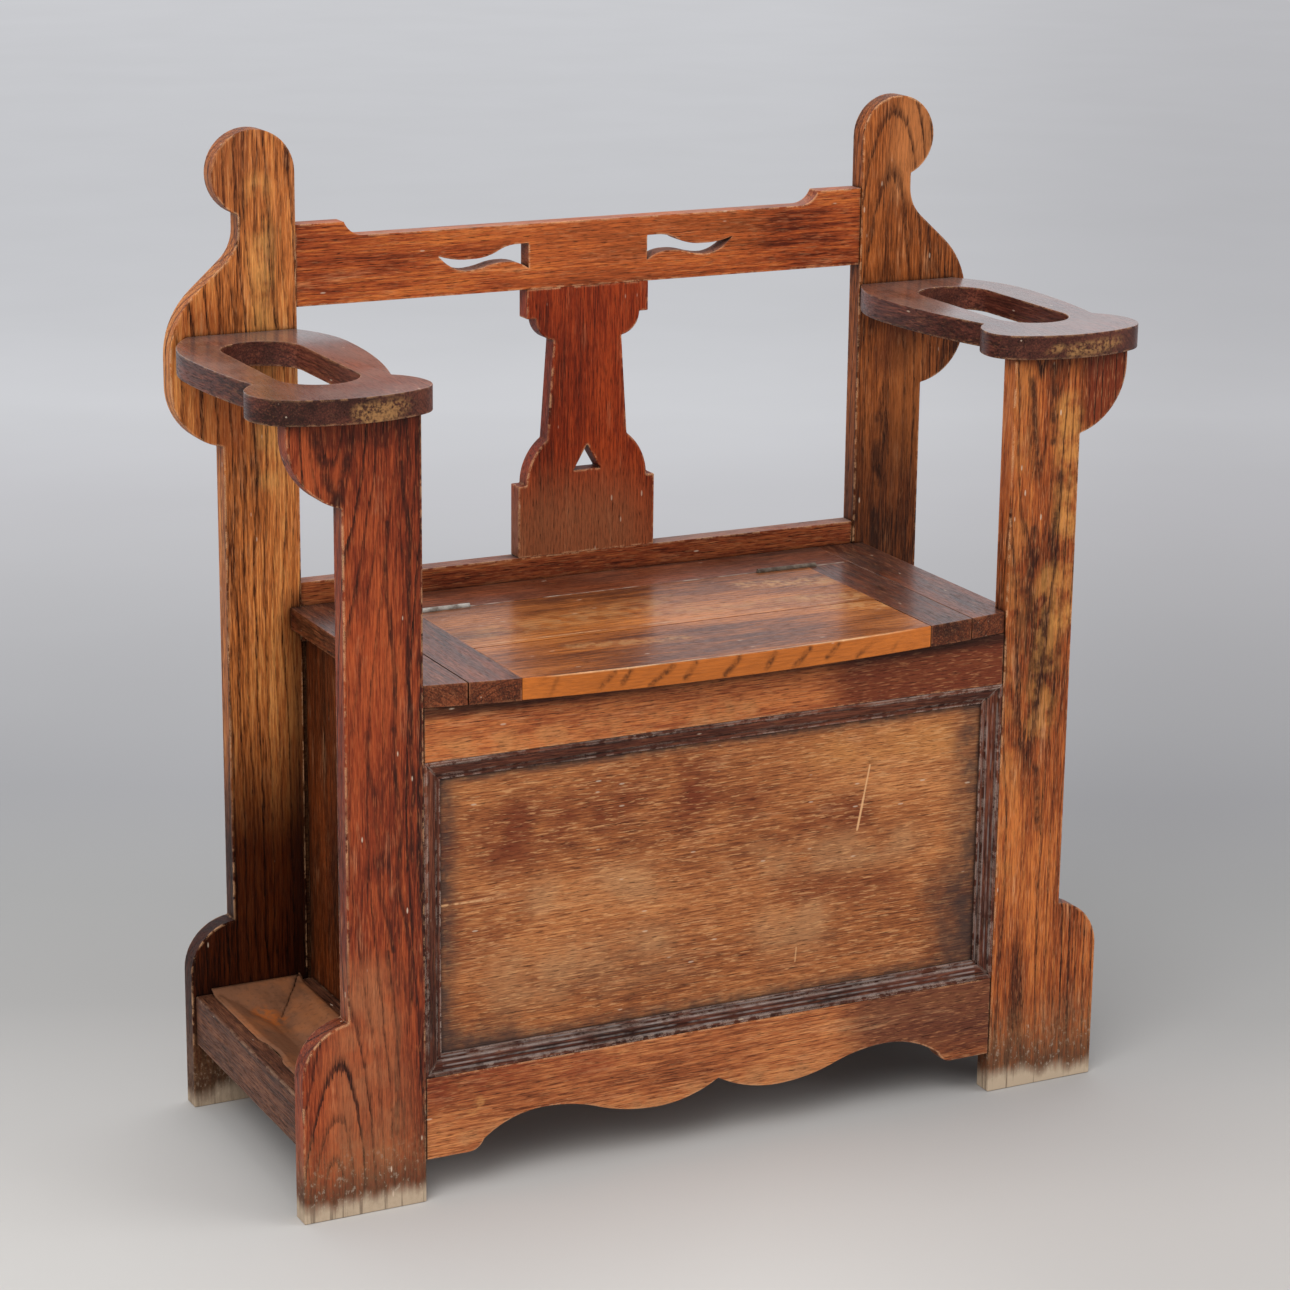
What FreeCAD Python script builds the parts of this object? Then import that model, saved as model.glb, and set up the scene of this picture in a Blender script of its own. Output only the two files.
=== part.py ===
import FreeCAD, Part
import math
import os

import Sketcher

# A hall bench with a lidded box seat, a pierced back and a stick stand at each end.
# X runs to the right as one faces the bench, Y from front to back, Z up.
# The origin is on the floor under the middle of the whole bench.
# Sizes are in millimetres. Heights are measured from the floor, depths from the front
# face of the front uprights towards the back, and reaches outwards from the inner edge
# of an upright.

SIZES = {
    # the whole bench
    "bench_height": 912,
    "clear_width": 580,
    "carcase_depth": 304,
    # the four uprights
    "upright_thickness": 20,
    "shaft_width": 72,
    "foot_height": 180,
    "foot_flare": 43,
    "foot_radius": 48,
    # head, neck and shoulder of the rear uprights
    "head_radius": 39,
    "neck_width": 54,
    "neck_length": 13.5,
    "hollow_radius": 38,
    "shoulder_reach": 120,
    "shoulder_radius": 78,
    "shoulder_foot_drop": 282,
    "shoulder_heel_radius": 57,
    # ear of the front uprights
    "ear_reach": 120,
    "ear_lip": 12.5,
    "ear_radius": 64,
    # arms
    "arm_top_drop_height": 180,
    "arm_thickness": 22,
    "arm_overhang": 19,
    "arm_back_inset": 2,
    "arm_back_reach": 104,
    "arm_inner_swell": 20,
    "arm_inner_swell_setback": 70,
    "arm_outer_swell": 137,
    "arm_outer_swell_setback": 88,
    "arm_neck_inner_reach": 2,
    "arm_neck_inner_depth": 60,
    "arm_neck_outer_reach": 124,
    "arm_neck_outer_depth": 66,
    "disc_inner_swell": 17,
    "disc_inner_swell_depth": 22,
    "disc_outer_swell": 142,
    "disc_outer_swell_depth": 30,
    "disc_front_reach": 122,
    "disc_front_radius": 140,
    "ring_width": 73,
    "ring_reach": 62,
    "ring_front_wall": 42,
    "ring_back_wall": 42,
    "arm_tenon_reach": 28,
    "arm_tenon_width": 64,
    "arm_tenon_thickness": 10,
    "arm_tenon_height": 8,
    # back
    "back_setback": 2,
    "back_thickness": 18,
    "top_rail_drop": 100,
    "top_rail_height": 61,
    "top_rail_step": 13,
    "top_rail_step_reach": 243,
    "top_rail_step_run": 19,
    "cutout_start": 61,
    "cutout_length": 90,
    "cutout_rise": 20,
    "cutout_height": 23,
    "lower_rail_upstand": 22,
    "lower_rail_height": 56,
    "splat_cap_width": 125,
    "splat_collar_width": 107,
    "splat_neck_width": 70,
    "splat_foot_width": 83,
    "splat_arch_width": 125,
    "splat_block_width": 142,
    "splat_tenon_height": 12,
    "splat_piercing_width": 28,
    "splat_piercing_height": 24,
    # tenons of the rails
    "tenon_length": 25,
    "tenon_thickness": 6,
    "tenon_shoulder": 6,
    # seat
    "seat_height": 474,
    "seat_thickness": 20,
    "lid_overhang": 24,
    "seat_end_setback": 2,
    "seat_end_overhang": 11,
    "seat_end_width": 39,
    "lid_side_gap": 1,
    "rear_board_width": 64,
    "lid_joint_depth": 91,
    "cleat_width": 46.5,
    "tongue_depth": 8,
    "tongue_thickness": 6,
    "tongue_stop": 24,
    "tongue_clearance": 0.2,
    # front of the chest
    "front_setback": 1,
    "front_thickness": 18,
    "front_rail_height": 49,
    "apron_top": 116,
    "apron_foot": 39,
    "apron_cusp": 65.5,
    "apron_lobe": 48.5,
    "apron_lobe_reach": 62,
    "apron_bend": 57.8,
    "apron_bend_reach": 118,
    "apron_arch": 69,
    "apron_arch_reach": 176,
    "apron_spring": 49,
    "apron_spring_reach": 234,
    "apron_foot_reach": 248.5,
    "panel_recess": 10,
    "panel_thickness": 6,
    "panel_tongue": 6,
    "moulding_width": 18,
    "moulding_fillet": 3.5,
    "moulding_step": 1.6,
    "moulding_bead": 2.5,
    "moulding_inner_fillet": 2.5,
    # sides, back and bottom of the chest
    "side_thickness": 20,
    "side_inset": 5,
    "side_bottom": 64,
    "back_panel_setback": 6,
    "back_panel_thickness": 8,
    "bottom_thickness": 12,
    "bearer_width": 22,
    "lid_bearer_width": 25,
    "lid_bearer_height": 20,
    # stick stands
    "stretcher_thickness": 20,
    "stretcher_inset": 3.5,
    "stretcher_bottom": 63,
    "stretcher_height": 48,
    "stretcher_tenon_length": 8,
    "stretcher_tenon_thickness": 8,
    "tray_bearer_width": 20,
    "tray_bearer_height": 20,
    "tray_sheet": 1,
    "tray_rest": 5,
    "tray_bearer_rest": 7,
    "tray_end_gap": 1,
    "tray_side_clearance": 1.5,
    "tray_end_flap": 9,
    "tray_end_lip": 5,
    "tray_end_run": 46,
    "tray_fall": 16,
    "tray_low_width": 8,
    # hinges
    "hinge_length": 63,
    "hinge_inset": 37,
    "hinge_leaf_height": 15,
    "hinge_leaf_thickness": 1.5,
    "hinge_leaf_gap": 0.2,
    "hinge_joint_gap": 1,
    "hinge_rise": 0.8,
    "knuckle_radius": 2.6,
    "knuckle_gap": 0.2,
    "knuckle_clearance": 0.3,
    "pin_radius": 1.2,
    "pin_clearance": 0.05,
    "pin_overhang": 0.6,
    # screws
    "hinge_screw_radius": 1.2,
    "hinge_screw_head_radius": 2.4,
    "hinge_screw_head_height": 1.2,
    "hinge_screw_length": 14,
    "hinge_screw_drop": 9,
    "screw_radius": 2,
    "screw_head_radius": 4,
    "screw_head_height": 2.4,
    "arm_screw_length": 50,
    "arm_screw_inner_reach": 20,
    "arm_screw_outer_reach": 84,
    "bearer_screw_length": 36,
    "tray_screw_length": 32,
    "seat_screw_length": 32,
    "seat_bearer_screw_reach": 120,
    "screw_clearance": 0.05,
    # one overrun serves every cutter
    "overrun": 5,
}

KNUCKLE_COUNT = 5
SCREW_SIDE_COUNT = 8
OGEE_TURN = math.radians(48)

# heights up the splat, from the lower rail to the top one, as shares of its height:
# the underside of the cap, the neck, the top of the base, the block and the piercing
SPLAT_SHARES = (0.89, 0.806, 0.435, 0.27, 0.312)

# places along a length or across a width, as shares of it
BEARER_SCREW_SHARES = (0.12, 0.5, 0.88)
SEAT_SCREW_SHARES = (0.3, 0.7)
HINGE_SCREW_SHARES = (0.1, 0.5, 0.9)

# corners and arcs of the pierced cut-out, along its length from the blunt end and up
# its height, each arc with its radius as a share of the length and its turning side
CUTOUT_SHARES = (
    ("line", 0.12, 1.0, 0.0, 0),
    ("arc", 0.36, 0.74, 0.45, -1),
    ("arc", 0.64, 0.52, 0.62, 1),
    ("arc", 1.0, 0.72, 0.95, 1),
    ("arc", 0.83, 0.2, 0.5, -1),
    ("arc", 0.66, 0.07, 0.36, -1),
    ("arc", 0.46, 0.22, 0.9, -1),
    ("arc", 0.27, 0.32, 0.6, 1),
    ("arc", 0.0, 0.0, 0.42, 1),
)


class Size:
    """A length, with the formula over the sheet that gives it."""

    def __init__(self, formula, value):
        self.formula = formula
        self.value = float(value)

    def join(self, other, sign, value):
        return Size(f"({self.formula} {sign} {size(other).formula})", value)

    def __add__(self, other):
        return self.join(other, "+", self.value + size(other).value)

    def __sub__(self, other):
        return self.join(other, "-", self.value - size(other).value)

    def __mul__(self, other):
        return self.join(other, "*", self.value * size(other).value)

    def __truediv__(self, other):
        return self.join(other, "/", self.value / size(other).value)

    def __neg__(self):
        return Size(f"(0 - {self.formula})", -self.value)

    def root(self):
        return Size(f"sqrt({self.formula})", math.sqrt(self.value))


def size(number):
    """Take a plain number as a size, and leave a size as it is."""
    if isinstance(number, Size):
        return number
    return Size(f"{float(number):.9f}", number)


ZERO = Size("0", 0)
doc = FreeCAD.newDocument("HallBench")


def fill_sheet():
    """Write every size into the sheet and hand back its cells by name."""
    sheet = doc.addObject("Spreadsheet::Sheet", "Sizes")
    for row, (name, number) in enumerate(SIZES.items(), start=1):
        sheet.set(f"A{row}", name)
        sheet.set(f"B{row}", str(number))
        sheet.setAlias(f"B{row}", name)
    doc.recompute()
    return {name: Size(f"Sizes.{name}", number) for name, number in SIZES.items()}


s = fill_sheet()

# planes that many pieces share
half_clear = s["clear_width"] / 2
front_plane = (s["lid_overhang"] - s["carcase_depth"]) / 2
upright_back = s["upright_thickness"]
rear_face = s["carcase_depth"] - s["upright_thickness"]
back_face = rear_face + s["back_setback"]
back_rear = back_face + s["back_thickness"]
foot_edge = half_clear + s["shaft_width"] + s["foot_flare"]
arm_top = s["bench_height"] - s["arm_top_drop_height"]
arm_bottom = arm_top - s["arm_thickness"]
top_rail_top = s["bench_height"] - s["top_rail_drop"]
top_rail_bottom = top_rail_top - s["top_rail_height"]
lower_rail_top = s["seat_height"] + s["lower_rail_upstand"]
lower_rail_bottom = lower_rail_top - s["lower_rail_height"]
splat_height = top_rail_bottom - lower_rail_top
seat_bottom = s["seat_height"] - s["seat_thickness"]
front_back = s["front_setback"] + s["front_thickness"]
front_rail_bottom = seat_bottom - s["front_rail_height"]
side_outer = half_clear - s["side_inset"]
side_inner = side_outer - s["side_thickness"]
back_panel_front = rear_face + s["back_panel_setback"]
stretcher_outer = foot_edge - s["stretcher_inset"]
stretcher_inner = stretcher_outer - s["stretcher_thickness"]
stretcher_top = s["stretcher_bottom"] + s["stretcher_height"]
lid_depth = back_face - s["rear_board_width"] - s["hinge_joint_gap"]
hinge_axis_depth = lid_depth + s["hinge_joint_gap"] / 2
hinge_axis_height = s["seat_height"] + s["hinge_rise"]
end_inner = half_clear - s["seat_end_width"]
lid_half_width = end_inner - s["lid_side_gap"]
lid_bearer_inner = side_inner - s["lid_bearer_width"]
bearer_inner = side_inner - s["bearer_width"]
bottom_top = s["apron_top"] + s["bottom_thickness"]
bearer_bottom = s["apron_top"] - s["bearer_width"]
lid_bearer_bottom = seat_bottom - s["lid_bearer_height"]


def bind(thing, **places):
    """Tie properties of an object to their formulas."""
    for name, value in places.items():
        thing.setExpression(name, size(value).formula)


def place(thing, x, depth, z):
    """Tie an object's place, with its depth counted from the front plane."""
    thing.setExpression("Placement.Base.x", size(x).formula)
    thing.setExpression("Placement.Base.y", (front_plane + depth).formula)
    thing.setExpression("Placement.Base.z", size(z).formula)


def box(name, low, high):
    """A board or cutter between two corners given as (x, depth, z)."""
    solid = doc.addObject("Part::Box", name)
    bind(solid, Length=size(high[0]) - low[0], Width=size(high[1]) - low[1], Height=size(high[2]) - low[2])
    place(solid, *low)
    return solid


def across(name, half, low, high):
    """A board that runs the same way left and right of the middle, between (depth, z) corners."""
    return box(name, (-half, low[0], low[1]), (half, high[0], high[1]))


# the turn that lays a bar along each way, and the way as a step
WAYS = {
    "+x": (FreeCAD.Rotation(FreeCAD.Vector(0, 1, 0), 90), (1, 0, 0)),
    "-x": (FreeCAD.Rotation(FreeCAD.Vector(0, 1, 0), -90), (-1, 0, 0)),
    "+y": (FreeCAD.Rotation(FreeCAD.Vector(1, 0, 0), -90), (0, 1, 0)),
    "-y": (FreeCAD.Rotation(FreeCAD.Vector(1, 0, 0), 90), (0, -1, 0)),
    "+z": (FreeCAD.Rotation(), (0, 0, 1)),
}


def rod(name, start, way, radius, length):
    """A round bar from a start point along one of the axes."""
    bar = doc.addObject("Part::Cylinder", name)
    bar.Placement = FreeCAD.Placement(FreeCAD.Vector(), WAYS[way][0])
    bind(bar, Radius=radius, Height=length)
    place(bar, *start)
    return bar


def shank(name, start, way, radius, length):
    """The straight part of a screw, with flats, along one of the axes."""
    bar = doc.addObject("Part::Prism", name)
    bar.Polygon = SCREW_SIDE_COUNT
    bar.Placement = FreeCAD.Placement(FreeCAD.Vector(), WAYS[way][0])
    bind(bar, Circumradius=radius, Height=length)
    place(bar, *start)
    return bar


def countersink(name, start, way, first, last, length):
    """The tapered part of a screw, with flats, along one of the axes."""
    turn, steps = WAYS[way]
    far = [size(near) + size(length) * step for near, step in zip(start, steps)]
    rings = []
    for end, centre, radius in (("near", start, first), ("far", far, last)):
        ring = doc.addObject("Part::RegularPolygon", f"{name}_{end}")
        ring.Polygon = SCREW_SIDE_COUNT
        ring.Placement = FreeCAD.Placement(FreeCAD.Vector(), turn)
        bind(ring, Circumradius=radius)
        place(ring, *centre)
        rings.append(ring)
    head = doc.addObject("Part::Loft", name)
    head.Sections = rings
    head.Solid = True
    head.Ruled = True
    return head


def fuse(name, parts):
    """One solid from parts that meet."""
    joined = doc.addObject("Part::MultiFuse", name)
    joined.Shapes = parts
    joined.Refine = True
    return joined


def cut(name, base, cutters):
    """The base without what its cutters take away."""
    taken = cutters[0] if len(cutters) == 1 else doc.addObject("Part::MultiFuse", f"{name}_cutters")
    if len(cutters) > 1:
        taken.Shapes = cutters
    left = doc.addObject("Part::Cut", name)
    left.Base = base
    left.Tool = taken
    return left


def common(name, parts):
    """What all the parts share."""
    shared = doc.addObject("Part::MultiCommon", name)
    shared.Shapes = parts
    return shared


def mirrored(name, source):
    """The left-hand twin of a right-hand piece."""
    twin = doc.addObject("Part::Mirroring", name)
    twin.Source = source
    twin.Normal = FreeCAD.Vector(1, 0, 0)
    return twin


def group(name, solids):
    """Identical fasteners kept together as separate solids."""
    bundle = doc.addObject("Part::Compound", name)
    bundle.Links = solids
    return bundle


def arc_centre(start, end, radius, side):
    """Centre of the short arc between two points, on its left (1) or right (-1)."""
    run = end - start
    half = run.Length / 2
    across_run = FreeCAD.Vector(-run.y, run.x, 0).normalize()
    rise = math.sqrt(max(radius * radius - half * half, 0))
    return start + run / 2 + across_run * rise * side


def draw(sketch, start, steps):
    """Draw a closed outline whose corners and radii are tied to the sheet.

    Each step is (end,) for a line, or (end, radius, side) for an arc.
    """
    corners = [start] + [step[0] for step in steps]
    points = [FreeCAD.Vector(size(x).value, size(y).value, 0) for x, y in corners]
    last = len(steps) - 1
    for index, step in enumerate(steps):
        first = points[index]
        second = points[0] if index == last else points[index + 1]
        if len(step) == 1:
            sketch.addGeometry(Part.LineSegment(first, second), False)
            continue
        middle = arc_centre(first, second, step[1].value, step[2])
        circle = Part.Circle(middle, FreeCAD.Vector(0, 0, 1), step[1].value)
        begin = math.atan2(first.y - middle.y, first.x - middle.x)
        end = math.atan2(second.y - middle.y, second.x - middle.x)
        ends = (begin, end) if step[2] > 0 else (end, begin)
        sketch.addGeometry(Part.ArcOfCircle(circle, *ends), False)

    def entry(index):
        """Which end of an edge the outline enters by."""
        step = steps[index]
        return 2 if len(step) > 1 and step[2] < 0 else 1

    for index in range(len(steps)):
        after = (index + 1) % len(steps)
        sketch.addConstraint(Sketcher.Constraint("Coincident", index, 3 - entry(index), after, entry(after)))
    for index in range(len(steps)):
        x, y = (size(value) for value in corners[index])
        tie(sketch, "DistanceX", index, entry(index), x, -2)
        tie(sketch, "DistanceY", index, entry(index), y, -1)
    for index, step in enumerate(steps):
        if len(step) > 1:
            number = sketch.addConstraint(Sketcher.Constraint("Radius", index, step[1].value))
            sketch.setExpression(f"Constraints[{number}]", step[1].formula)


def tie(sketch, kind, edge, end, value, axis):
    """Hold one end of an edge at a distance from the sketch's origin."""
    if value is ZERO:
        sketch.addConstraint(Sketcher.Constraint("PointOnObject", edge, end, axis))
        return
    number = sketch.addConstraint(Sketcher.Constraint(kind, -1, 1, edge, end, value.value))
    sketch.setExpression(f"Constraints[{number}]", value.formula)


def shaped(name, plane, start, steps, thickness, holes=()):
    """A body padded from an outline on one of its own planes, with pockets right through."""
    body = doc.addObject("PartDesign::Body", name)
    datum = [feature for feature in body.Origin.OriginFeatures if feature.Role == plane][0]

    def sketch_of(label, first, path):
        sketch = body.newObject("Sketcher::SketchObject", label)
        sketch.AttachmentSupport = [(datum, "")]
        sketch.MapMode = "FlatFace"
        draw(sketch, first, path)
        return sketch

    pad = body.newObject("PartDesign::Pad", f"{name}_pad")
    pad.Profile = sketch_of(f"{name}_outline", start, steps)
    bind(pad, Length=thickness)
    for number, (first, path) in enumerate(holes, start=1):
        pocket = body.newObject("PartDesign::Pocket", f"{name}_hole_{number}")
        pocket.Profile = sketch_of(f"{name}_hole_outline_{number}", first, path)
        pocket.Type = "ThroughAll"
        pocket.Reversed = True
    return body


def swept_radius(offset, run):
    """Radius of an arc that starts square to the offset and leaves it by a given run."""
    return (offset * offset + run * run) / (offset * 2)


pieces = {}


def keep(name, solid):
    """Name a finished piece of the bench."""
    solid.Label = name
    pieces[name] = solid
    return solid


def keep_pair(name, right):
    """Name a right-hand piece and its left-hand twin."""
    keep(f"{name}_right", right)
    keep(f"{name}_left", mirrored(f"{name}_left", right))


def pair_of(solids):
    """Right-hand solids followed by their left-hand twins."""
    return solids + [mirrored(f"{solid.Name}_twin", solid) for solid in solids]


def screw(name, head, way, length, kind, clearance=ZERO):
    """A countersunk wood screw, or with a clearance the hole that it sits in."""
    prefix = "hinge_screw" if kind == "hinge" else "screw"
    radius = s[f"{prefix}_radius"] + clearance
    flare = s[f"{prefix}_head_radius"] + clearance
    cone = countersink(f"{name}_head", head, way, flare, radius, s[f"{prefix}_head_height"])
    return fuse(name, [cone, shank(f"{name}_shank", head, way, radius, length + clearance)])


def screws(name, heads, way, length, kind="wood"):
    """The screws at some places, and the holes cut for them."""
    solids = []
    holes = []
    for number, head in enumerate(heads, start=1):
        solids.append(screw(f"{name}_{number}", head, way, length, kind))
        holes.append(screw(f"{name}_hole_{number}", head, way, length, kind, s["screw_clearance"]))
    return solids, holes


# joints that two pieces share: the same solid is the tenon on one and the mortise in the other
def rail_tenon(name, face, thickness, bottom, height):
    """The tenon at the right-hand end of a rail."""
    low = face + (thickness - s["tenon_thickness"]) / 2
    return box(name, (half_clear, low, bottom + s["tenon_shoulder"]),
               (half_clear + s["tenon_length"], low + s["tenon_thickness"], bottom + height - s["tenon_shoulder"]))


top_rail_tenon = rail_tenon("top_rail_tenon", back_face, s["back_thickness"],
                            top_rail_bottom, s["top_rail_height"])
lower_rail_tenon = rail_tenon("lower_rail_tenon", back_face, s["back_thickness"],
                              lower_rail_bottom, s["lower_rail_height"])
front_rail_tenon = rail_tenon("front_rail_tenon", s["front_setback"], s["front_thickness"],
                              front_rail_bottom, s["front_rail_height"])
apron_tenon = rail_tenon("apron_tenon", s["front_setback"], s["front_thickness"],
                         s["apron_arch"], s["apron_top"] - s["apron_arch"])

stretcher_middle = (stretcher_inner + stretcher_outer) / 2
stretcher_tenon = box("stretcher_tenon",
                      (stretcher_middle - s["stretcher_tenon_thickness"] / 2,
                       upright_back - s["stretcher_tenon_length"],
                       s["stretcher_bottom"] + s["tenon_shoulder"]),
                      (stretcher_middle + s["stretcher_tenon_thickness"] / 2,
                       rear_face + s["stretcher_tenon_length"],
                       stretcher_top - s["tenon_shoulder"]))
arm_tenon_low = (s["upright_thickness"] - s["arm_tenon_thickness"]) / 2
arm_tenon = box("arm_tenon",
                (half_clear + s["arm_tenon_reach"], arm_tenon_low, arm_bottom),
                (half_clear + s["arm_tenon_reach"] + s["arm_tenon_width"],
                 arm_tenon_low + s["arm_tenon_thickness"], arm_bottom + s["arm_tenon_height"]))

front_panel = keep("front_panel", across(
    "front_panel", half_clear + s["panel_tongue"],
    (s["panel_recess"], s["apron_top"] - s["panel_tongue"]),
    (s["panel_recess"] + s["panel_thickness"], front_rail_bottom + s["panel_tongue"])))
chest_back_panel = keep("chest_back_panel", across(
    "chest_back_panel", half_clear + s["panel_tongue"],
    (back_panel_front, s["side_bottom"]),
    (back_panel_front + s["back_panel_thickness"], lower_rail_bottom + s["panel_tongue"])))


def round_rise(radius, reach):
    """Rise of an arc from where it stands upright, at a reach, to where it meets the shaft's edge."""
    run = s["shaft_width"] - reach + radius
    return (radius * radius - run * run).root()


def foot_steps():
    """The flared foot that ends every upright, from its notch to the floor."""
    toe = s["shaft_width"] + s["foot_flare"]
    radius = s["foot_radius"]
    return [
        ((s["shaft_width"], s["foot_height"]),),
        ((toe, s["foot_height"] - round_rise(radius, toe)), radius, -1),
        ((toe, ZERO),),
        ((ZERO, ZERO),),
    ]


def rear_upright_steps():
    """Head, neck, ogee shoulder, shaft and foot of a rear upright."""
    radius = s["head_radius"]
    head_side = s["bench_height"] - radius
    past = s["neck_width"] - radius
    notch = head_side - (radius * radius - past * past).root()
    hollow = s["hollow_radius"]
    round_ = s["shoulder_radius"]
    bend = 1 - math.cos(OGEE_TURN)
    hollow_end = (s["neck_width"] + hollow * bend,
                  notch - s["neck_length"] - hollow * math.sin(OGEE_TURN))
    round_reach = s["shoulder_reach"] - round_ * bend
    round_start = hollow_end[1] - (round_reach - hollow_end[0]) * (1 / math.tan(OGEE_TURN))
    shoulder_foot = s["bench_height"] - s["shoulder_foot_drop"]
    heel_radius = s["shoulder_heel_radius"]
    heel_start = shoulder_foot + round_rise(heel_radius, s["shoulder_reach"])
    return [
        ((ZERO, head_side),),
        ((radius, s["bench_height"]), radius, -1),
        ((radius * 2, head_side), radius, -1),
        ((s["neck_width"], notch), radius, -1),
        ((s["neck_width"], notch - s["neck_length"]),),
        (hollow_end, hollow, 1),
        ((round_reach, round_start),),
        ((s["shoulder_reach"], round_start - round_ * math.sin(OGEE_TURN)), round_, -1),
        ((s["shoulder_reach"], heel_start),),
        ((s["shaft_width"], shoulder_foot), heel_radius, -1),
    ] + foot_steps()


def front_upright_steps():
    """Ear, shaft and foot of a front upright."""
    ear = s["ear_radius"]
    ear_start = arm_bottom - s["ear_lip"]
    return [
        ((ZERO, arm_bottom),),
        ((s["ear_reach"], arm_bottom),),
        ((s["ear_reach"], ear_start),),
        ((s["shaft_width"], ear_start - round_rise(ear, s["ear_reach"])), ear, -1),
    ] + foot_steps()


def arm_screw_set():
    """The screws through each rear upright into the back end of the arm."""
    height = arm_top - s["arm_thickness"] / 2
    heads = [(half_clear + reach, s["carcase_depth"], height)
             for reach in (s["arm_screw_inner_reach"], s["arm_screw_outer_reach"])]
    return screws("arm_screw", heads, "-y", s["arm_screw_length"])


arm_screws, arm_screw_holes = arm_screw_set()


def build_uprights():
    """The four shaped boards that stand on the floor."""
    rear = shaped("rear_upright", "XZ_Plane", (ZERO, ZERO), rear_upright_steps(), s["upright_thickness"])
    place(rear, half_clear, s["carcase_depth"], ZERO)
    keep_pair("rear_upright", cut("rear_upright_right", rear, [
        top_rail_tenon, lower_rail_tenon, chest_back_panel, stretcher_tenon] + arm_screw_holes))
    front = shaped("front_upright", "XZ_Plane", (ZERO, ZERO), front_upright_steps(), s["upright_thickness"])
    place(front, half_clear, upright_back, ZERO)
    tenoned = fuse("front_upright_tenoned", [front, arm_tenon])
    keep_pair("front_upright", cut("front_upright_right", tenoned, [
        front_rail_tenon, apron_tenon, front_panel, stretcher_tenon]))


def slot_steps(middle, near, width, length):
    """A round-ended hole along Y, as its start and its edges."""
    radius = width / 2
    low = near + radius
    high = near + length - radius
    right = middle + radius
    left = middle - radius
    return (right, low), [
        ((right, high),),
        ((middle, near + length), radius, 1),
        ((left, high), radius, 1),
        ((left, low),),
        ((middle, near), radius, 1),
        ((right, low), radius, 1),
    ]


def build_arms():
    """The ring-shaped arms that hold sticks upright."""
    inner = -s["arm_inner_swell"]
    disc_inner = -s["disc_inner_swell"]
    inner_swell_depth = rear_face - s["arm_inner_swell_setback"]
    outer_swell_depth = rear_face - s["arm_outer_swell_setback"]
    bow = s["disc_front_radius"]
    half_front = s["disc_front_reach"] / 2
    corner = bow - (bow * bow - half_front * half_front).root() - s["arm_overhang"]
    start = (s["arm_back_inset"], rear_face)
    steps = [
        ((inner, inner_swell_depth),
         swept_radius(s["arm_inner_swell"] + s["arm_back_inset"], s["arm_inner_swell_setback"]), 1),
        ((s["arm_neck_inner_reach"], s["arm_neck_inner_depth"]),
         swept_radius(s["arm_inner_swell"] + s["arm_neck_inner_reach"],
                      inner_swell_depth - s["arm_neck_inner_depth"]), 1),
        ((disc_inner, s["disc_inner_swell_depth"]),
         swept_radius(s["disc_inner_swell"] + s["arm_neck_inner_reach"],
                      s["arm_neck_inner_depth"] - s["disc_inner_swell_depth"]), 1),
        ((ZERO, corner),
         swept_radius(s["disc_inner_swell"], s["disc_inner_swell_depth"] - corner), 1),
        ((s["disc_front_reach"], corner), bow, 1),
        ((s["disc_outer_swell"], s["disc_outer_swell_depth"]),
         swept_radius(s["disc_outer_swell"] - s["disc_front_reach"], s["disc_outer_swell_depth"] - corner), 1),
        ((s["arm_neck_outer_reach"], s["arm_neck_outer_depth"]),
         swept_radius(s["disc_outer_swell"] - s["arm_neck_outer_reach"],
                      s["arm_neck_outer_depth"] - s["disc_outer_swell_depth"]), 1),
        ((s["arm_outer_swell"], outer_swell_depth),
         swept_radius(s["arm_outer_swell"] - s["arm_neck_outer_reach"],
                      outer_swell_depth - s["arm_neck_outer_depth"]), 1),
        ((s["arm_back_reach"], rear_face),
         swept_radius(s["arm_outer_swell"] - s["arm_back_reach"],
                      s["arm_outer_swell_setback"]), 1),
        (start,),
    ]
    ring_length = rear_face - s["ring_back_wall"] - s["ring_front_wall"]
    ring = slot_steps(s["ring_reach"], s["ring_front_wall"], s["ring_width"], ring_length)
    arm = shaped("arm_ring", "XY_Plane", start, steps, s["arm_thickness"], [ring])
    place(arm, half_clear, ZERO, arm_bottom)
    keep_pair("arm_ring", cut("arm_ring_right", arm, [arm_tenon] + arm_screw_holes))


def cutout_steps(side):
    """The swallow-tail piercing of the top rail, to the right (1) or the left (-1)."""
    def point(along, up):
        return ((s["cutout_start"] + s["cutout_length"] * along) * side, top_rail_bottom + s["cutout_rise"] + s["cutout_height"] * up)

    steps = [(point(0, 1),)]
    for kind, along, up, radius, turn in CUTOUT_SHARES:
        if kind == "line":
            steps.append((point(along, up),))
        else:
            steps.append((point(along, up), s["cutout_length"] * radius, turn * side))
    return point(0, 0), steps


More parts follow.
